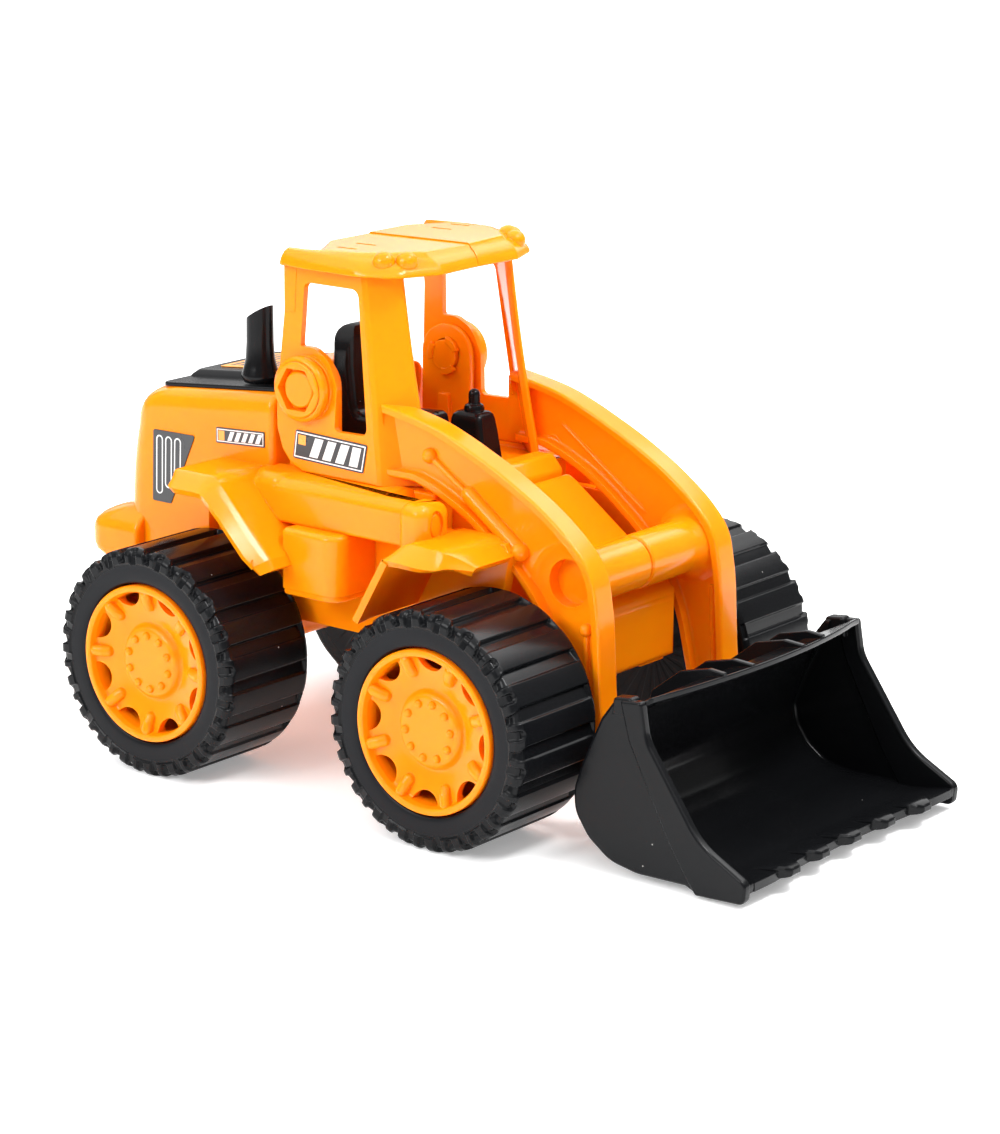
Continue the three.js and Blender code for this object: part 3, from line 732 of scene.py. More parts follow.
def engine_deck():
    """The thin cover on the hood, notched at its front corners, with a raised panel."""
    plan = [
        (-37.5, -39.5, 3.5), (23.6, -39.5, 1), (23.6, -17.8), (12.8, -17.8), (12.8, 17.8), (23.6, 17.8),
        (23.6, 39.5, 1), (-37.5, 39.5, 3.5)
    ]
    plate = prism("z", plan, 0.15, 1.6, 0.6, 0)
    rings = []
    for z, grow in ((1, 2.6), (1.6, 2.6), (2.4, 2.1), (3.6, 0.7), (4.0, 0.25), (4.2, -0.4)):
        rings.append(level(rectangle(-34 - grow, 9.4 + grow, 22.6 + grow, 2, 2), z))
    return on_hood(union(plate, loft(rings)))


def exhaust_stack():
    """A pipe with a flared foot and a slanted mouth."""
    x, y = STACK_AT
    foot = HOOD_TOP + hood_rise(x) + 2.2
    body = [
        (0, foot), (6.2, foot), (7.2, foot + 1.6), (7.2, foot + 3), (6.4, foot + 5.4), (5.6, foot + 9),
        (5.25, foot + 15), (5.1, 176), (0, 176)
    ]
    pipe = upright(x, y, body, 40)
    bore = upright(x, y, plain(4.1, 160, 180), 40)
    slant = prism("y", [(x - 9, 163.4), (x + 9, 174.8), (x + 9, 190), (x - 9, 190)], y - 9, y + 9)
    return bevelled(cut(pipe, bore, slant), 0.4, 2, 50)


def seat():
    """The driver's seat: its side and front outlines meet, and two channels cross the cushion."""
    floor = FLOOR_Z + 0.3
    side = [
        (26.8, floor), (61, floor, 2), (62, 126, 4), (61, 131.8, 3.2), (46, 131, 10), (38.6, 132, 4), (36.4, 150),
        (36.6, 161, 3), (33, 165.5, 3), (27.8, 163.5, 3), (26.8, 140)
    ]
    front = [(-15, 100), (15, 100), (15, 140), (15, 166, 14), (-15, 166, 14), (-15, 140)]
    item = common(prism("y", side, -15, 15, 2.6), prism("x", front, 10, 80))
    channels = [block(42, 60, y - 0.5, y + 0.5, 130.9, 134) for y in (-9, 9)]
    return cut(item, *channels)


def control_console():
    """A tapered box with a joystick on top."""
    rings = []
    for z, x0, x1, y0, y1 in (
        (FLOOR_Z + 0.3, 64, 82, 8.5, 21.5), (125, 64.6, 80.4, 9.1, 20.9), (130, 65, 79.4, 9.5, 20.5),
        (131.8, 65.6, 78.8, 9.9, 20.1), (132.8, 66.8, 77.8, 10.9, 19.1), (133.1, 68.5, 76.5, 12, 18)
    ):
        rings.append(level(rounded(rect(x0, x1, y0, y1, 2)), z))
    stick = [(0, 130), (3.9, 130), (3.9, 134.2), (3.4, 135.3), (2.5, 135.8), (2.2, 136.4), (2.2, 139.3)]
    stick += [(2.2 * math.cos(a), 139.3 + 2.2 * math.sin(a)) for a in (0.4, 0.8, 1.2)] + [(0, 141.5)]
    return union(loft(rings), upright(72.6, 15, stick, 24))


# ------------------------------------------------------------------ labels
LABEL_THICK = 0.35
INK_THICK = 0.05


def label(outline, prints):
    """A flat label in the X-Z plane: a dark sheet with thin prints laid on it, each (ink, outline)."""
    parts = [(DARK, prism("y", outline, 0, LABEL_THICK, 0.08))]
    for ink, shape in prints:
        parts.append((ink, prism("y", shape, LABEL_THICK + 0.005, LABEL_THICK + INK_THICK)))
    return joined(parts)


def joined(parts):
    """One object from (material index, solid) parts that lie side by side."""
    work = bmesh.new()
    for index, part in parts:
        start = len(work.faces)
        work.from_mesh(part.data)
        work.faces.ensure_lookup_table()
        for face in work.faces[start:]:
            face.material_index = index
        bpy.data.objects.remove(part)
    mesh = bpy.data.meshes.new("label")
    work.to_mesh(mesh)
    work.free()
    for ink in INKS:
        mesh.materials.append(ink)
    return linked("label", mesh)


def frame_strips(corners, width):
    """Four thin strips along the sides of a quadrilateral."""
    strips = []
    loop = rounded(corners)
    inner = inset(loop, width)
    for i in range(len(loop)):
        j = (i + 1) % len(loop)
        strips.append([tuple(loop[i]), tuple(loop[j]), tuple(inner[j]), tuple(inner[i])])
    return strips


def slot_ring(x, low, high, half, lean):
    """A tall round-ended ring, as the pieces of its outline: two legs and two ends."""
    width = 0.55
    pieces = []
    for side in (-1, 1):
        a, b = x + side * half, x + side * (half - width)
        pieces.append([(a + lean, high), (b + lean, high), (b, low), (a, low)])
    for z, turn, shift in ((high, 1, lean), (low, -1, 0)):
        outer = arc((x + shift, z), half, 0, 180 * turn, 8)
        inner = arc((x + shift, z), half - width, 180 * turn, 0, 8)
        pieces.append(outer + inner)
    return pieces


def bar(x0, x1, low, high, slope, lean=0.0, origin=0):
    """A bar along a sloping label, its sides leaning forward; low and high are its heights at the origin."""
    shift0, shift1 = slope * (x0 - origin), slope * (x1 - origin)
    return [(x0, low + shift0), (x1, low + shift1), (x1 + lean, high + shift1), (x0 + lean, high + shift0)]


def grille_label():
    """Three tall rings of growing length."""
    outline = [(-36, 120.8, 0.8), (-14.4, 121.1, 0.8), (-27.4, 92.7, 0.8), (-36.9, 92.7, 0.8)]
    prints = []
    for k in range(3):
        x = -32.8 + k * 4.7
        for piece in slot_ring(x - 0.4, 97.5 + k * 2.8, 117.2, 1.75, 0.5):
            prints.append((WHITE, piece))
    return label(outline, prints)


def hood_label():
    """A framed row of leaning bars behind one orange block."""
    outline = [(-3.4, 120.2, 0.5), (21, 121.6, 0.5), (21, 127.6, 0.5), (-3.4, 126.2, 0.5)]
    border = [(-2.9, 120.8), (20.5, 122.1), (20.5, 127), (-2.9, 125.7)]
    slope = 0.057
    prints = [(WHITE, strip) for strip in frame_strips(border, 0.35)]
    prints.append((ORANGE, bar(-2.1, 0.9, 121.5, 125.2, slope)))
    prints += [(WHITE, bar(2.4 + k * 3.5, 4.4 + k * 3.5, 121.6, 125.2, slope, 1.6)) for k in range(5)]
    return label(outline, prints)


def cab_label():
    """A framed row of wide bars behind one orange block."""
    outline = [(36.1, 130.8, 0.8), (70.7, 129.7, 0.8), (69.2, 119, 0.8), (35.2, 120.1, 0.8)]
    border = [(36.6, 130.2), (70.1, 129.1), (68.7, 119.6), (35.8, 120.7)]
    slope, origin = -0.032, 36
    prints = [(WHITE, strip) for strip in frame_strips(border, 0.45)]
    prints.append((ORANGE, bar(37.6, 41.2, 125.6, 129.2, slope, 0, origin)))
    for x0, x1, lean in ((43.2, 47.2, 2.6), (49.5, 53.5, 2.6), (55.8, 59.8, 2.6), (62.4, 66.4, 1.6)):
        prints.append((WHITE, bar(x0, x1, 121.8, 129.0, slope, lean, origin)))
    return label(outline, prints)


def deck_label():
    """An orange panel with a dark grid, laid on the raised part of the deck."""
    panel = prism("z", rect(-28, 2, -16.5, 16.5, 1), 0, 0.3, 0.08)
    parts = [(ORANGE, panel)]
    for k in range(7):
        x = -25.2 + k * 4
        for y0, y1 in ((-13.5, -1.2), (1.2, 13.5)):
            parts.append((DARK, prism("z", rect(x, x + 2.2, y0, y1), 0.305, 0.35)))
    return on_hood(joined(parts), 4.3)


def lay_on_side(item, side, lean=0.0):
    """Moves a label from the X-Z plane onto the hood's or the cab's wall."""
    offset = (CAB_HALF if lean else HOOD_HALF) + 0.1
    for v in item.data.vertices:
        v.co.y = offset + v.co.y - lean * (v.co.z - CAB_REF_Z)
    return on_side(item, side)


# ------------------------------------------------------------------ cab and arms, drawn for the left side
ARM_OUTLINE = [
    (75, 145.2), (86.6, 143.4, 4), (99, 140.9, 200), (112, 136, 200), (131, 127.6, 200), (149, 117.6, 200),
    (163, 107.2, 90), (171.6, 97.5, 60), (174.6, 80, 90), (176.2, 52, 90), (180.4, 24, 8), (172, 15.6, 8),
    (163.6, 24, 8), (159.3, 44.5, 90), (154.8, 63.5, 90), (149.4, 76, 90), (142.4, 86, 90), (134, 94, 90),
    (122.3, 103.2, 90), (112.8, 109.6, 90), (99.5, 115.9, 90), (90, 118.8, 6), (78, 118.8)
]
ARM_HOLLOW = [
    (76, 142.4), (87, 140.6, 4), (98, 138.2, 200), (111, 133.3, 200), (130, 124.8, 200), (147.6, 115, 200),
    (161, 105, 90), (168.6, 96.4, 60), (171.6, 79, 90), (173.4, 52, 90), (174.4, 36, 2), (164, 34, 2), (162, 45.5, 90),
    (157.5, 64.5, 90), (151.9, 77.4, 90), (144.4, 88, 90), (135.6, 96.4, 90), (124, 105.5, 90), (114.3, 112.1, 90),
    (101, 118.6, 90), (91, 121.6, 6), (76, 121.6)
]
WALL_OUTLINE = [
    (26.5, CAB_TOP), (27.8, 173.4, 20), (26.2, 150, 20), (25.8, 137.3, 8), (26.3, 130.4, 8), (29.3, 122.5, 8),
    (33.7, 117.8, 5), (39.8, FLOOR_Z + 0.3, 3), (76.2, FLOOR_Z + 0.3), (64, CAB_TOP)
]
WINDOW = [
    (37.4, 185.6, 2.5), (63.1, 185.6, 3.5), (70.1, 132.8, 2.5), (54.4, 132.4, 2), (54.8, 149, 8), (50.6, 158, 10),
    (43, 162, 8), (36.6, 161.8, 1)
]


def leaned(item):
    """Tips a shape drawn on an upright wall inwards, as the cab walls are."""
    for v in item.data.vertices:
        v.co.y -= CAB_LEAN * (v.co.z - CAB_REF_Z)
    return item


def cab_wall():
    """One side wall with its window and a raised strip on the rear pillar."""
    wall = leaned(prism("y", WALL_OUTLINE, CAB_HALF - WALL, CAB_HALF, 0.7))
    opening = prism("y", WINDOW, 34, 52)
    strip = leaned(prism("y", rect(28.6, 33.4, 174, 192), CAB_HALF - 0.2, CAB_HALF + 0.25, 0.2))
    return cut(union(wall, strip), opening)


def front_pillar():
    """The slanted face beside the windscreen opening, from the side wall's crease to the front edge."""
    rings = []
    for k in range(13):
        share = k / 12
        z = FLOOR_Z + 0.3 + (CAB_TOP - FLOOR_Z - 0.3) * k / 12
        crease_x = 76.2 - 11.9 * share + 0.64 * math.sin(math.pi * share)
        front_x = 91.0 - 15.2 * share - 1.2 * math.sin(math.pi * share)
        crease_y = CAB_HALF - CAB_LEAN * (z - CAB_REF_Z)
        corners = [
            (crease_x - 2.2, crease_y - 2.6), (front_x - 2.6, 30.6, 0.6), (front_x, 31.2, 0.8),
            (front_x - 0.2, 32.6, 0.8), (crease_x + 1.1, crease_y - 0.75, 2.0), (crease_x - 1.0, crease_y, 0.4)
        ]
        rings.append(level(rounded(corners, 3), z))
    return loft(rings)


def arm_beam():
    """The arm: an I-section beam whose web is dished round the pocket in the cross tube's end."""
    beam = prism("y", ARM_OUTLINE, FLANGE_IN, FLANGE_OUT, 1.1)
    dish = lathe([(0, 30), (8.7, 30), (8.7, 36.6), (9.2, 37.1), (12.5, 38.3), (15.6, 39.25), (15.6, 48), (0, 48)], 96)
    dish = common(moved(dish, (TUBE[0], 0, TUBE[1])), prism("y", ARM_HOLLOW, FLANGE_IN - 4, FLANGE_OUT + 6))
    return cut(
        beam,
        prism("y", ARM_HOLLOW, WEB_OUT, FLANGE_OUT + 4, 0, 1.2),
        prism("y", ARM_HOLLOW, FLANGE_IN - 4, WEB_IN, 1.2, 0),
        dish,
    )


def arm_relief():
    """The moulded imitation of a hydraulic cylinder, and the ribs on both faces of the web."""
    out = WEB_OUT + 0.7
    barrel = [(0, -0.02), (1.7, -0.015), (2.6, 0.02), (3.0, 0.06), (3.05, 0.5), (3.05, 1), (0, 1)]
    thin = [(0, 0), (1.15, 0.001), (1.15, 0.999), (0, 1)]
    ridge = [(0, 0), (0.5, 0.02), (0.9, 0.06), (0.9, 0.94), (0.5, 0.98), (0, 1)]
    ring = lathe([(2.4, -0.3), (2.9, -0.3), (2.9, 0.3), (2.4, 0.3)], 32)
    return [
        ball((95.7, out, 128.6), 2.9),
        bone((95.7, out, 128.6), (114, out, 116.4), thin),
        bone((112.4, out, 118.1), (137.5, out, 99.7), barrel),
        ball((137.5, WEB_OUT + 1.3, 99.7), 3.6),
        ball((167, WEB_OUT + 0.9, 76), 2.4),
        bone((167, WEB_OUT + 0.4, 76), (166.8, WEB_OUT + 0.4, 46), thin),
        bone((97.2, WEB_IN, 128.6), (137.9, WEB_IN, 99.2), ridge),
        bone((168.1, WEB_IN, 77), (169.5, WEB_IN, 46), thin),
        moved(ring, (93.9, WEB_IN, 120.2)),
    ]


def cross_tube(sleeve):
    """Half of the cross tube with its flared root, and the bores to cut; one half sleeves over the other."""
    radius = 10 if sleeve else 9.6
    flare = [(0, 0.15), (8, 0.15), (radius - 0.6, 0.15), (radius, 0.8), (radius, 27.5)]
    flare += [(radius + 6.5 * (1 - math.cos(a)), 27.5 + 9.6 * math.sin(a)) for a in np.linspace(0.2, 1.5, 8)]
    root = moved(lathe(flare + [(radius + 6.1, 37.6), (0, 37.6)], 96), (TUBE[0], 0, TUBE[1]))
    root = common(root, prism("y", ARM_OUTLINE, -1, 37.6))
    bore = lathe(plain(7.6, -1, 28), 48)
    pocket = lathe(plain(8.7, 32.5, 39.5), 96)
    return root, [moved(tool, (TUBE[0], 0, TUBE[1])) for tool in (bore, pocket)]


def half_roof(lift):
    """One half of the roof: a flat top, a lip rolled down to the drip edge and a visor in front."""
    drip = rounded([(26.3, 0), (26.3, 44, 3), (44, 46), (67, 46, 14), (80, 40.5, 12), (87.2, 22.5, 3), (86, 0)], 6)
    brow = rounded(
        [(28.8, 0), (28.8, 41.6, 2), (44, 41.9), (61, 41.2, 14), (73, 34.4, 12), (81.2, 22.8, 3), (82.6, 0)], 6
    )
    crown = rounded(
        [(33.8, 0), (34, 22.5, 2), (45.6, 38.6), (59, 38, 14), (69.8, 31, 12), (78.2, 23, 3), (80.6, 0)], 6
    )
    bands = [
        (drip, brow, 0.9, 196.4), (drip, brow, 0.6, 195.2), (drip, brow, 0.3, 193.3), (drip, brow, 0.05, 191.3),
        (drip, brow, 0.0, 191.6), (drip, brow, 0.02, 192.4), (drip, brow, 0.14, 193.8), (drip, brow, 0.34, 195.2),
        (drip, brow, 0.6, 196.4), (drip, brow, 0.82, 197.1), (drip, brow, 1.0, 197.5), (brow, crown, 0.5, 198.0),
        (brow, crown, 1.0, 198.3),
    ]
    rings = []
    for low, high, share, z in bands:
        ring = []
        for p, q in zip(low, high):
            at = p.lerp(q, share)
            rise = lift + 0.02 * max(0, at.x - 34) if z > 197.8 else lift * max(0, z - 192) / 6
            ring.append((at.x, max(at.y, 0.15), z + rise))
        rings.append(ring)
    top = 198.2 + lift
    rear = [(34, -1, top), (34, 22.5, top), (20, 22.5, top - 11), (20, -1, top - 11)]
    corner = [(34, 22.4, top), (46, 39.9, top), (20, 39.9, top - 11), (20, 22.4, top - 11)]
    wedges = [loft([shape, [(x, y, 212) for x, y, _ in shape]]) for shape in (rear, corner)]
    slots = [block(46, 55.5, y - 0.8, y + 0.8, 197.5, 202) for y in (22, 33)]
    return cut(loft(rings), *wedges, *slots)


def roof_lamps(right):
    """Two ball lamps on the front corner; on the left they lean on a small hood."""
    lamps = [ball((72.3, 37.6, 196.3), 4.1), ball((78.2, 31.9, 196.2), 4.1)]
    if not right:
        lamps.append(ball((73.6, 33.8, 196.8), 4.6))
    return lamps


def cab_arm(right):
    """One half of the cab and arms: wall, pillar, half roof, arm and half cross tube."""
    tube, tube_cuts = cross_tube(not right)
    boss = rod(*PIVOT, 12.2, 41, CAB_HALF + 0.1, 0.6, 64)
    web = prism("y", rect(72, 84, 118.8, 143), WEB_IN, WEB_OUT)
    whole = union(
        cab_wall(), boss, front_pillar(), half_roof(0 if right else 0.5), arm_beam(), web, tube, *roof_lamps(right),
        *arm_relief(),
    )
    whole = cut(whole, *tube_cuts, rod(*PIVOT, 6.5, 30, 50), rod(*BUCKET_PIVOT, 3.2, 28, 50))
    return on_side(whole, -1 if right else 1)


def pivot_plug():
    """A stepped plug with a hexagonal recess and three snap catches."""
    head = rod(*PIVOT, 12.3, 44.9, 49.2, 1.6, 96)
    step = rod(*PIVOT, 10.6, 48.6, 50.2, 0.9, 96)
    hexagon = prism("y", [(*p, 1.2) for p in arc(PIVOT, 8.9, 0, 300, 5)], 46.6, 52)
    disc = rod(*PIVOT, 6.9, 44, 48.9, 1.0, 64)
    stub = rod(*PIVOT, 6, 35.9, 47, 0.4)
    catches = [
        prism("y", arc(PIVOT, 7.6, a, a + 60, 8) + arc(PIVOT, 5, a + 60, a, 8), 35.4, 37.3, 0.4)
        for a in (20, 140, 260)
    ]
    return union(cut(union(head, step), hexagon), disc, stub, *catches)


def bucket_pin():
    """A plain pin with a flat head."""
    shank = rod(*BUCKET_PIVOT, 3, 28, 44, 0.5)
    head = rod(*BUCKET_PIVOT, 5, FLANGE_OUT + 0.3, FLANGE_OUT + 2, 0.6)
    return union(shank, head)


# ------------------------------------------------------------------ bucket
BUCKET_HALF = 70
BUCKET_OUTSIDE = [
    (200.6, 63.6, 1.5), (212.5, 65, 2), (214.8, 52, 14), (237.5, 20, 30), (257, 9.6, 3.4), (256.2, 2.2, 2.4),
    (236, 1.2, 3), (231.5, 3.2, 3), (211, 2.8, 20), (199.5, 4.9, 16), (190, 11.7, 14), (184.3, 20, 12),
    (183.6, 28, 12), (187, 38, 30), (195, 56)
]
BUCKET_BACK = [(193.6, 53.6), (212, 53.6), (225, 30), (240, 12), (262, 12), (262, 1.2)] + BUCKET_OUTSIDE[6:-1]
BUCKET_INSIDE = [
    (202.6, 60.6), (206, 100), (300, 100), (300, 16.9), (240, 5.6, 30), (211, 5.6, 20), (201, 7.6, 16),
    (192.6, 13.6, 12), (187.4, 21, 10), (186.4, 28, 10), (189.6, 37.5, 30), (197.8, 55)
]
RIM_BAND = [
    (203.6, 64.1, 1), (212.6, 65.1, 1.5), (214.9, 52, 14), (237.5, 20, 30), (257.2, 9.6, 3.6), (256.4, 2.0, 2.6),
    (236.4, 1.1, 1), (232.6, 6, 2), (224.8, 17.6, 20), (207.6, 50, 14)
]
GUARD_REAR = (193, 54.5)


def guard_edge(y):
    """Where the top plate's bowed front edge lies, and how high."""
    x = 214.4 + 9.2 * max(0, math.cos(math.pi / 2 * min(1, abs(y) / 62))) ** 0.8
    return x, 63.5 + 0.2 * (x - 200)


def guard_top(x, y):
    """The top plate's height at a point."""
    edge_x, edge_z = guard_edge(y)
    rear_x, rear_z = GUARD_REAR
    return rear_z + (edge_z - rear_z) * (x - rear_x) / (edge_x - rear_x)


def bucket_guard():
    """The top plate: it rises from the back wall to a front edge that is bowed in the middle."""
    plan = [(GUARD_REAR[0], -66), (208, -69, 1), (214.4, -66, 2)]
    plan += [(guard_edge(y)[0], y) for y in range(-60, 61, 6)]
    plan += [(214.4, 66, 2), (208, 69, 1), (GUARD_REAR[0], 66)]
    plate = prism("z", plan, 0, 2.5, 0.8)
    for v in plate.data.vertices:
        v.co.z += guard_top(v.co.x, v.co.y) - 2.5
    return plate


def bucket_rib(y):
    """A gusset on the top plate."""
    front = guard_edge(y)[0]
    outline = [
        (189.2, 53), (190.4, 56.6, 1), (202.4, 65.9, 2.5), (214.5, 68.9, 2), (front - 0.4, 68.4, 0.5),
        (front - 0.8, 65.5), (212, 61.5), (202, 57), (194, 52), (191, 46.5)
    ]
    return prism("y", outline, y - 1.15, y + 1.15, 0.5)


def bucket_lug():
    """One of the two plates on the back that the bucket hangs from."""
    outline = [(190, 12), (172, 16.8, 7), (164.8, 24, 7), (172, 31.4, 7), (184, 36, 3), (191, 40)]
    return prism("y", outline, 29.4, 32.2, 0.6)


def lip_front(y):
    """The bucket's lip is set back in the middle."""
    return 253.2 + 3.4 * min(1.1, (y / 50) ** 2)


def floor_top(x):
    """The height of the bucket's floor, which rises towards the lip."""
    return 5.6 + 0.188 * max(0, x - 240)


def bucket_tooth(y):
    """A tooth on the lip: a low ridge on the floor that ends in a blunt point."""
    lip = lip_front(y)
    rings = []
    for reach, half, rise, depth in (
        (-13, 3.4, 0.1, 2), (-8, 4.6, 0.7, 2), (-3, 6.0, 1.3, 2.4), (0, 6.2, 1.6, 2.6), (2.2, 4.4, 1.5, 2.4),
        (3.8, 3.1, 1.1, 2.0), (4.4, 2.4, 0.4, 1.4)
    ):
        x = lip + reach
        base = floor_top(min(x, lip))
        top, bottom = base + rise, base - depth
        middle = top - 0.45 * (rise + 0.6)
        rings.append([
            (x, y - half, bottom), (x, y + half, bottom), (x, y + half, middle), (x, y + 0.78 * half, top - 0.1),
            (x, y + 0.3 * half, top), (x, y - 0.3 * half, top), (x, y - 0.78 * half, top - 0.1), (x, y - half, middle)
        ])
    return bevelled(loft(rings), 0.35, 2, 40)


def bucket():
    """The bucket: a scooped shell between two cheeks, with rim bands, top plate, gussets, teeth and lugs."""
    back = prism("y", BUCKET_BACK, -64, 64, 0.4)
    cheeks = both(prism("y", BUCKET_OUTSIDE, 63, BUCKET_HALF - 0.9, 1.4))
    inside = prism("y", BUCKET_INSIDE, -BUCKET_HALF + 3, BUCKET_HALF - 3, 1.2)
    chamber = common(copy_of(inside), block(180, 300, -70, 70, 0, 53))
    reach = BUCKET_HALF - 3.7
    lip = [(lip_front(y), y) for y in np.linspace(-reach, reach, 27)]
    front = prism("z", lip + [(270, reach), (270, -reach)], -5, 30)
    belly = prism("y", [(236, -2), (236, 0.8), (240, 2.5), (270, 8.1), (270, -2)], -reach, reach)
    bands = both(prism("y", RIM_BAND, BUCKET_HALF - 3.8, BUCKET_HALF, 1.0))
    ribs = [bucket_rib(y) for y in (-31.3, -16, 16, 31.3)]
    teeth = [bucket_tooth(y) for y in (-43, -21.5, 0, 21.5, 43)]
    corners = both(prism("y", [(199.4, 58), (200.4, 64.6, 1.6), (208.5, 65.6, 1.6), (209, 58)], 64, 69.2, 1.0))
    shell = cut(union(back, *cheeks), inside, front, belly)
    fittings = cut(union(*ribs, *both(bucket_lug())), chamber)
    whole = union(shell, bucket_guard(), fittings, *bands, *teeth, *corners)
    return cut(whole, rod(*BUCKET_PIVOT, 3.2, -40, 40))


# ------------------------------------------------------------------ wheels, drawn for a left wheel on its axle
LUGS = 20
PITCH = TYRE_RADIUS * 2 * math.pi / LUGS
SHOULDER_RADIUS = 40.6


def ease(share):
    """0 below 0, 1 above 1 and a smooth rise between."""
    share = np.clip(share, 0, 1)
    return share * share * (3 - 2 * share)


def ramp(value, width):
    """0 outside and 1 inside a border at value 0, easing over the width."""
    return ease(value / width + 0.5)


def tyre_profile():
    """Lug-level points (radius, y) from the outer bead over the tread to the closed inner wall."""
    out = WHEEL_OUT
    points = [(30.3, out - 1.1), (30.9, out - 0.5), (32.5, out - 0.05), (35, out), (36.6, out)]
    points += [(r, out) for r in np.arange(37.0, SHOULDER_RADIUS + 0.01, 0.3)]
    turns = np.linspace(0.1, math.pi / 2, 16)
    points += [(SHOULDER_RADIUS + 3.2 * math.sin(a), out - 3.2 + 3.2 * math.cos(a)) for a in turns]
    points += [(TYRE_RADIUS, y) for y in np.arange(out - 3.7, out - 8, -0.45)]
    points += [(TYRE_RADIUS, y) for y in np.arange(out - 9, WHEEL_IN + 7.5, -1.6)]
    points += [(TYRE_RADIUS, y) for y in np.arange(WHEEL_IN + 6.8, WHEEL_IN + 2.6, -0.45)]
    points += [(41.2 + 2.6 * math.cos(a), WHEEL_IN + 2.6 - 2.6 * math.sin(a)) for a in np.linspace(0.1, math.pi / 2, 9)]
    points += [(39, WHEEL_IN), (37, WHEEL_IN + 0.1), (34, WHEEL_IN + 0.5), (30, WHEEL_IN + 0.6), (3.2, WHEEL_IN + 0.6)]
    return np.array(points, float)


def tread_depth(arc_length, profile):
    """How deep the surface lies under lug level, in mm, for every column and profile point.

    Each pitch has one lug with an arch-shaped notch in its outer end, and one wide shallow recess with a steep
    wall on one side and a low step on the other.
    """
    around = (arc_length[:, None] + PITCH / 2) % PITCH - PITCH / 2
    radius, y = profile[None, :, 0], profile[None, :, 1]
    inner = y < (WHEEL_OUT + WHEEL_IN) / 2
    over = np.where(radius < SHOULDER_RADIUS, radius - SHOULDER_RADIUS, WHEEL_OUT - y)
    from_inside = y - WHEEL_IN
    bend = ease((4.2 - over) / 6.0) * ~inner
    steep = 4.5 + 1.9 * bend
    along = around % PITCH
    share = np.clip((along - steep) / (PITCH - 4.3 - steep), 0, 1)
    recess = ramp(along - steep, 0.7) * ramp(PITCH - 4.3 - along, 0.5) * (1.85 - 0.95 * share)
    recess *= ramp(np.where(inner, 99, radius - 38.9), 0.6) * ramp(np.where(inner, from_inside - 2.6, 99), 0.5)
    foot_edge = 37.5 + 0.7 * ramp(np.abs(around) - 2.0, 0.3)
    foot = 0.55 * ramp(foot_edge - radius, 0.45) * ~inner
    reach = 3.0 - over
    arch = 1.8 * np.sqrt(np.clip(1 - (around / 1.8) ** 2, 0, 1)) - 1.8
    scoop = np.clip((over + 3.2) / 5.5, 0, 1)
    notch = ramp(1.75 - np.abs(around), 0.45) * ramp(reach + arch, 0.5) * (0.4 + 1.3 * scoop) * ~inner
    pocket = ramp(2.9 - np.abs(around - 6.8), 0.4) + ramp(2.9 - np.abs(around + PITCH - 6.8), 0.4)
    pocket = pocket * ramp(from_inside - 0.7, 0.4) * ramp(2.0 - from_inside, 0.4) * inner
    crown = 0.12 * (np.abs(around) / 4.4) ** 2 * (np.abs(around) < 4.4) * (radius > 43)
    depth = np.maximum(recess, foot)
    for other in (notch, 0.9 * pocket, crown):
        depth = np.maximum(depth, other)
    return depth


def tyre():
    """A hollow tyre whose lugs, grooves and notches are a relief on its outer surface."""
    profile = tyre_profile()
    columns = LUGS * 40
    angles = np.arange(columns) * 2 * math.pi / columns
    tangent = np.gradient(profile, axis=0)
    normal = np.stack([-tangent[:, 1], tangent[:, 0]], axis=1)
    normal /= np.linalg.norm(normal, axis=1, keepdims=True)
    depth = tread_depth(angles * TYRE_RADIUS, profile)
    surface = profile[None] - normal[None] * depth[..., None]
    inside = np.array([
        (3.2, WHEEL_IN + 1.9), (30.3, WHEEL_IN + 1.9), (38, WHEEL_IN + 3.1), (40.4, WHEEL_IN + 5),
        (40.6, WHEEL_OUT - 6), (38, WHEEL_OUT - 3.2), (30.3, WHEEL_OUT - 3.6)
    ])
    rings = np.concatenate([surface, np.repeat(inside[None], columns, axis=0)], axis=1)
    count = rings.shape[1]
    cos, sin = np.cos(angles)[:, None], np.sin(angles)[:, None]
    vertices = np.stack([rings[..., 0] * cos, rings[..., 1], rings[..., 0] * sin], axis=2).reshape(-1, 3)
    column = np.arange(columns)[:, None] * count
    ahead = (np.arange(columns)[:, None] + 1) % columns * count
    row = np.arange(count)[None]
    row_next = (row + 1) % count
    faces = np.stack([column + row, column + row_next, ahead + row_next, ahead + row], axis=2).reshape(-1, 4)
    mesh = bpy.data.meshes.new("tyre")
    mesh.from_pydata(vertices.tolist(), [], faces.tolist())
    sidewall = np.concatenate([profile[:, 0] < 37.2, np.ones(len(inside), bool)])
    mesh.polygons.foreach_set("material_index", np.tile(sidewall.astype(np.int32), columns))
    return linked("tyre", mesh)


def wheel_fin():
    """One thick rounded fin between the dish and the lip, standing on the X axis."""
    outline = [(19.4, 84), (19.8, 88.7, 1.6), (22.6, 90.6, 3), (26.3, 91.6, 1.6), (28.1, 90.8), (28.1, 84)]
    return prism("z", outline, -2.15, 2.15, 1.95)


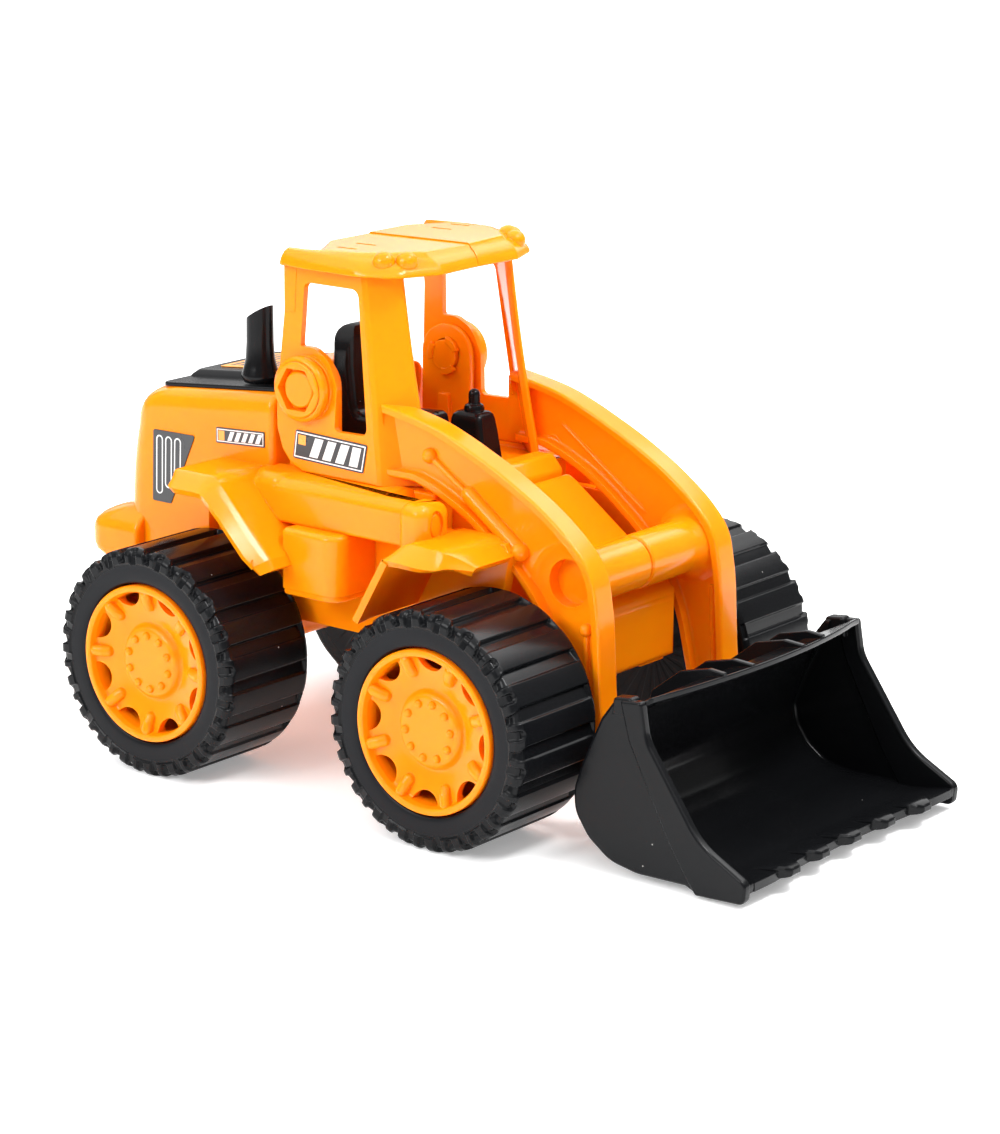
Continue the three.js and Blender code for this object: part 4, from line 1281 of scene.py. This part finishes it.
def rim():
    """The wheel's dish: a hub with ten bolt domes, eight fins and eight windows beside the lip."""
    profile = [
        (0, 83), (2.6, 83), (2.6, 50), (5.5, 50), (5.5, 80), (12, 81.6), (25, 85), (27.2, 84), (27.4, 49.6), (27.8, 49),
        (29.6, 49), (30, 49.5), (30, 90.7), (29.8, 91.3), (29.2, 91.6), (28.2, 91.6), (27.6, 91.3), (27.3, 90.7),
        (27.0, 89.4), (26.7, 88.7), (26.2, 88.3), (25.4, 88.1), (21, 87.1), (17.6, 86.1), (15.6, 85.5), (14.8, 85.5),
        (14.2, 85.9), (13.8, 86.6), (13.3, 87.4), (12.6, 87.9), (11.6, 88.2), (9, 88.25), (0, 88.3)
    ]
    body = lathe(profile, 96)
    limit = lathe(plain(26.9, 70, 92), 96)
    windows = []
    for k in range(8):
        angle = math.radians(22.5 + 45 * k)
        windows.append(rod(28.2 * math.cos(angle), 28.2 * math.sin(angle), 6.1, 74, 90, 0, 40))
    body = cut(body, common(union(*windows), limit))
    fins = [moved(wheel_fin(), turn=Matrix.Rotation(math.radians(45 * k), 3, "Y")) for k in range(8)]
    bolts = []
    for k in range(10):
        angle = math.radians(36 * k + 13.9)
        place_at = (10.2 * math.cos(angle), 0, 10.2 * math.sin(angle))
        dome = lathe([(0, 86.4), (1.5, 86.4), (1.5, 88.7), (1.35, 89.2), (1.0, 89.6), (0.5, 89.8), (0, 89.85)], 20)
        bolts.append(moved(dome, place_at))
    return union(body, *fins, *bolts)


def axle():
    """A steel rod with chamfered ends."""
    half = 84.6
    end = [(0, -half), (1.6, -half), (2.35, -half + 0.8)]
    return lathe(end + [(r, -y) for r, y in end[::-1]], 48)


# ------------------------------------------------------------------ the object
def build_chassis():
    """Everything that stays with the body when the arms lift."""
    place(upper_body(), "body_shell", "chassis", "body_plastic", "upper_body")
    place(lower_frame(), "base_frame", "chassis", "body_plastic", "lower_frame")
    for k, (x, y, _) in enumerate(SCREW_PLACES):
        place(base_screw(x, y), f"screw_{k + 1}", "chassis", "steel", f"base_screw_{k + 1}")
    place(engine_deck(), "deck_cover", "chassis", "black_plastic", "engine_deck")
    place(exhaust_stack(), "stack", "chassis", "black_plastic", "exhaust_stack")
    place(seat(), "driver_seat", "chassis", "black_plastic", "seat")
    place(control_console(), "console", "chassis", "black_plastic", "control_console")
    place(deck_label(), "deck_print", "chassis", "orange_label", "deck_label")
    for name, side in SIDES:
        for item, kind in ((grille_label(), "grille"), (hood_label(), "hood")):
            panel = lay_on_side(item, side)
            place(panel, f"{kind}_print_{name}", "chassis", "dark_label", f"{kind}_label_{name}")


def build_cab_arms():
    """The cab and arms with the plugs and pins that they turn on."""
    for name, side in SIDES:
        place(cab_arm(side < 0), f"cab_half_{name}", "cab_arms", "body_plastic", f"cab_arm_{name}")
        for item, look, node in ((pivot_plug(), "plug", "pivot_plug"), (bucket_pin(), "pin", "bucket_pin")):
            place(on_side(item, side), f"{look}_{name}", "cab_arms", "body_plastic", f"{node}_{name}")
        panel = lay_on_side(cab_label(), side, CAB_LEAN)
        place(panel, f"cab_print_{name}", "cab_arms", "dark_label", f"cab_label_{name}")


def build_wheels():
    """Two axles, each with a wheel at both ends."""
    tyre_shape, rim_shape, axle_shape = tyre(), rim(), axle()
    for end, x, rim_turn, lug_turn in (("rear", 0, 0.8, -6.5), ("front", WHEELBASE, -20.2, -9.6)):
        body = f"{end}_wheels"
        shaft = moved(copy_of(axle_shape), (x, 0, AXLE_HEIGHT))
        place(shaft, f"{end}_rod", body, "steel", f"{end}_axle")
        for name, side in SIDES:
            for shape, kind, turn, slot in (
                (tyre_shape, "tyre", lug_turn, "tyre_plastic"), (rim_shape, "rim", rim_turn, "body_plastic"),
            ):
                spin = Matrix.Rotation(math.radians(turn), 3, "Y")
                if side < 0:
                    spin = spin @ Matrix.Rotation(math.pi, 3, "Z")
                item = moved(copy_of(shape), (x, 0, AXLE_HEIGHT), spin)
                place(item, f"{end}_{name}_{kind}_look", body, slot, f"{end}_{name}_{kind}")
    for shape in (tyre_shape, rim_shape, axle_shape):
        bpy.data.objects.remove(shape)


build_chassis()
build_cab_arms()
place(bucket(), "bucket_look", "bucket_body", "black_plastic", "bucket")
build_wheels()


# ------------------------------------------------------------------ studio
def studio_floor():
    """A wide pale floor."""
    mesh = bpy.data.meshes.new("floor")
    work = bmesh.new()
    bmesh.ops.create_grid(work, x_segments=8, y_segments=8, size=30)
    work.to_mesh(mesh)
    work.free()
    floor = linked("floor", mesh)
    made, shader, node, link = material("floor_paper")
    _, tone = speckle(node, link, 3, 0.9, 0.93)
    link(tone.outputs["Result"], shader.inputs["Base Color"])
    put(shader, {"Roughness": 0.9, "Emission Color": (1, 1, 1, 1), "Emission Strength": 0.3})
    floor.data.materials.append(made)


def soft_light(name, place_at, aim, size, power):
    """A white rectangular light that faces a point."""
    lamp = bpy.data.lights.new(name, "AREA")
    lamp.shape = "RECTANGLE"
    lamp.size, lamp.size_y = size
    lamp.energy = power
    item = linked(name, lamp)
    item.location = place_at
    item.rotation_euler = (Vector(aim) - Vector(place_at)).to_track_quat("-Z", "Y").to_euler()


def studio_world():
    """A dim white surrounding."""
    world = bpy.data.worlds.new("studio")
    world.use_nodes = True
    put(world.node_tree.nodes["Background"], {"Color": (1, 1, 1, 1), "Strength": 0.32})
    bpy.context.scene.world = world


CAMERA_AZIMUTH = math.radians(37.87)
CAMERA_ELEVATION = math.radians(14.80)
CAMERA_ROLL = math.radians(0.46)
CAMERA_PLACE = Vector((0.86292 + REAR_AXLE_X, -0.98466, 0.40870))
SENSOR_MM = 36.0
LENS_MM = 109.6


def studio_camera():
    """The camera at the photograph's viewing angle, slightly rolled."""
    back = Vector((
        math.sin(CAMERA_AZIMUTH) * math.cos(CAMERA_ELEVATION),
        -math.cos(CAMERA_AZIMUTH) * math.cos(CAMERA_ELEVATION),
        math.sin(CAMERA_ELEVATION),
    ))
    right = (-back).cross(Vector((0, 0, 1))).normalized()
    up = back.cross(right)
    cos, sin = math.cos(CAMERA_ROLL), math.sin(CAMERA_ROLL)
    axes = Matrix((cos * right + sin * up, cos * up - sin * right, back)).transposed()
    lens = bpy.data.cameras.new("camera")
    lens.sensor_fit = "AUTO"
    lens.sensor_width = SENSOR_MM
    lens.lens = LENS_MM
    lens.clip_start = 0.05
    item = linked("camera", lens)
    item.matrix_world = Matrix.Translation(CAMERA_PLACE) @ axes.to_4x4()
    bpy.context.scene.camera = item


studio_floor()
studio_world()
soft_light("ceiling", (0, 0, 2.6), (0, 0, 0), (7, 7), 250)
soft_light("backdrop_glow", (-1.25, 1.6, 0.95), (0, 0, 0.1), (2.4, 1.0), 11)
soft_light("top_box", (0.35, 1.1, 1.5), (0, 0, 0.1), (1.3, 0.9), 11)
soft_light("side_key", (-0.5, -1.8, 1.1), (0, 0, 0.1), (1.2, 0.7), 28)
soft_light("strip", (0.6, 0.04, 1.12), (0, 0, 0.1), (0.32, 0.24), 9)
studio_camera()
bpy.context.scene.view_settings.view_transform = "Standard"
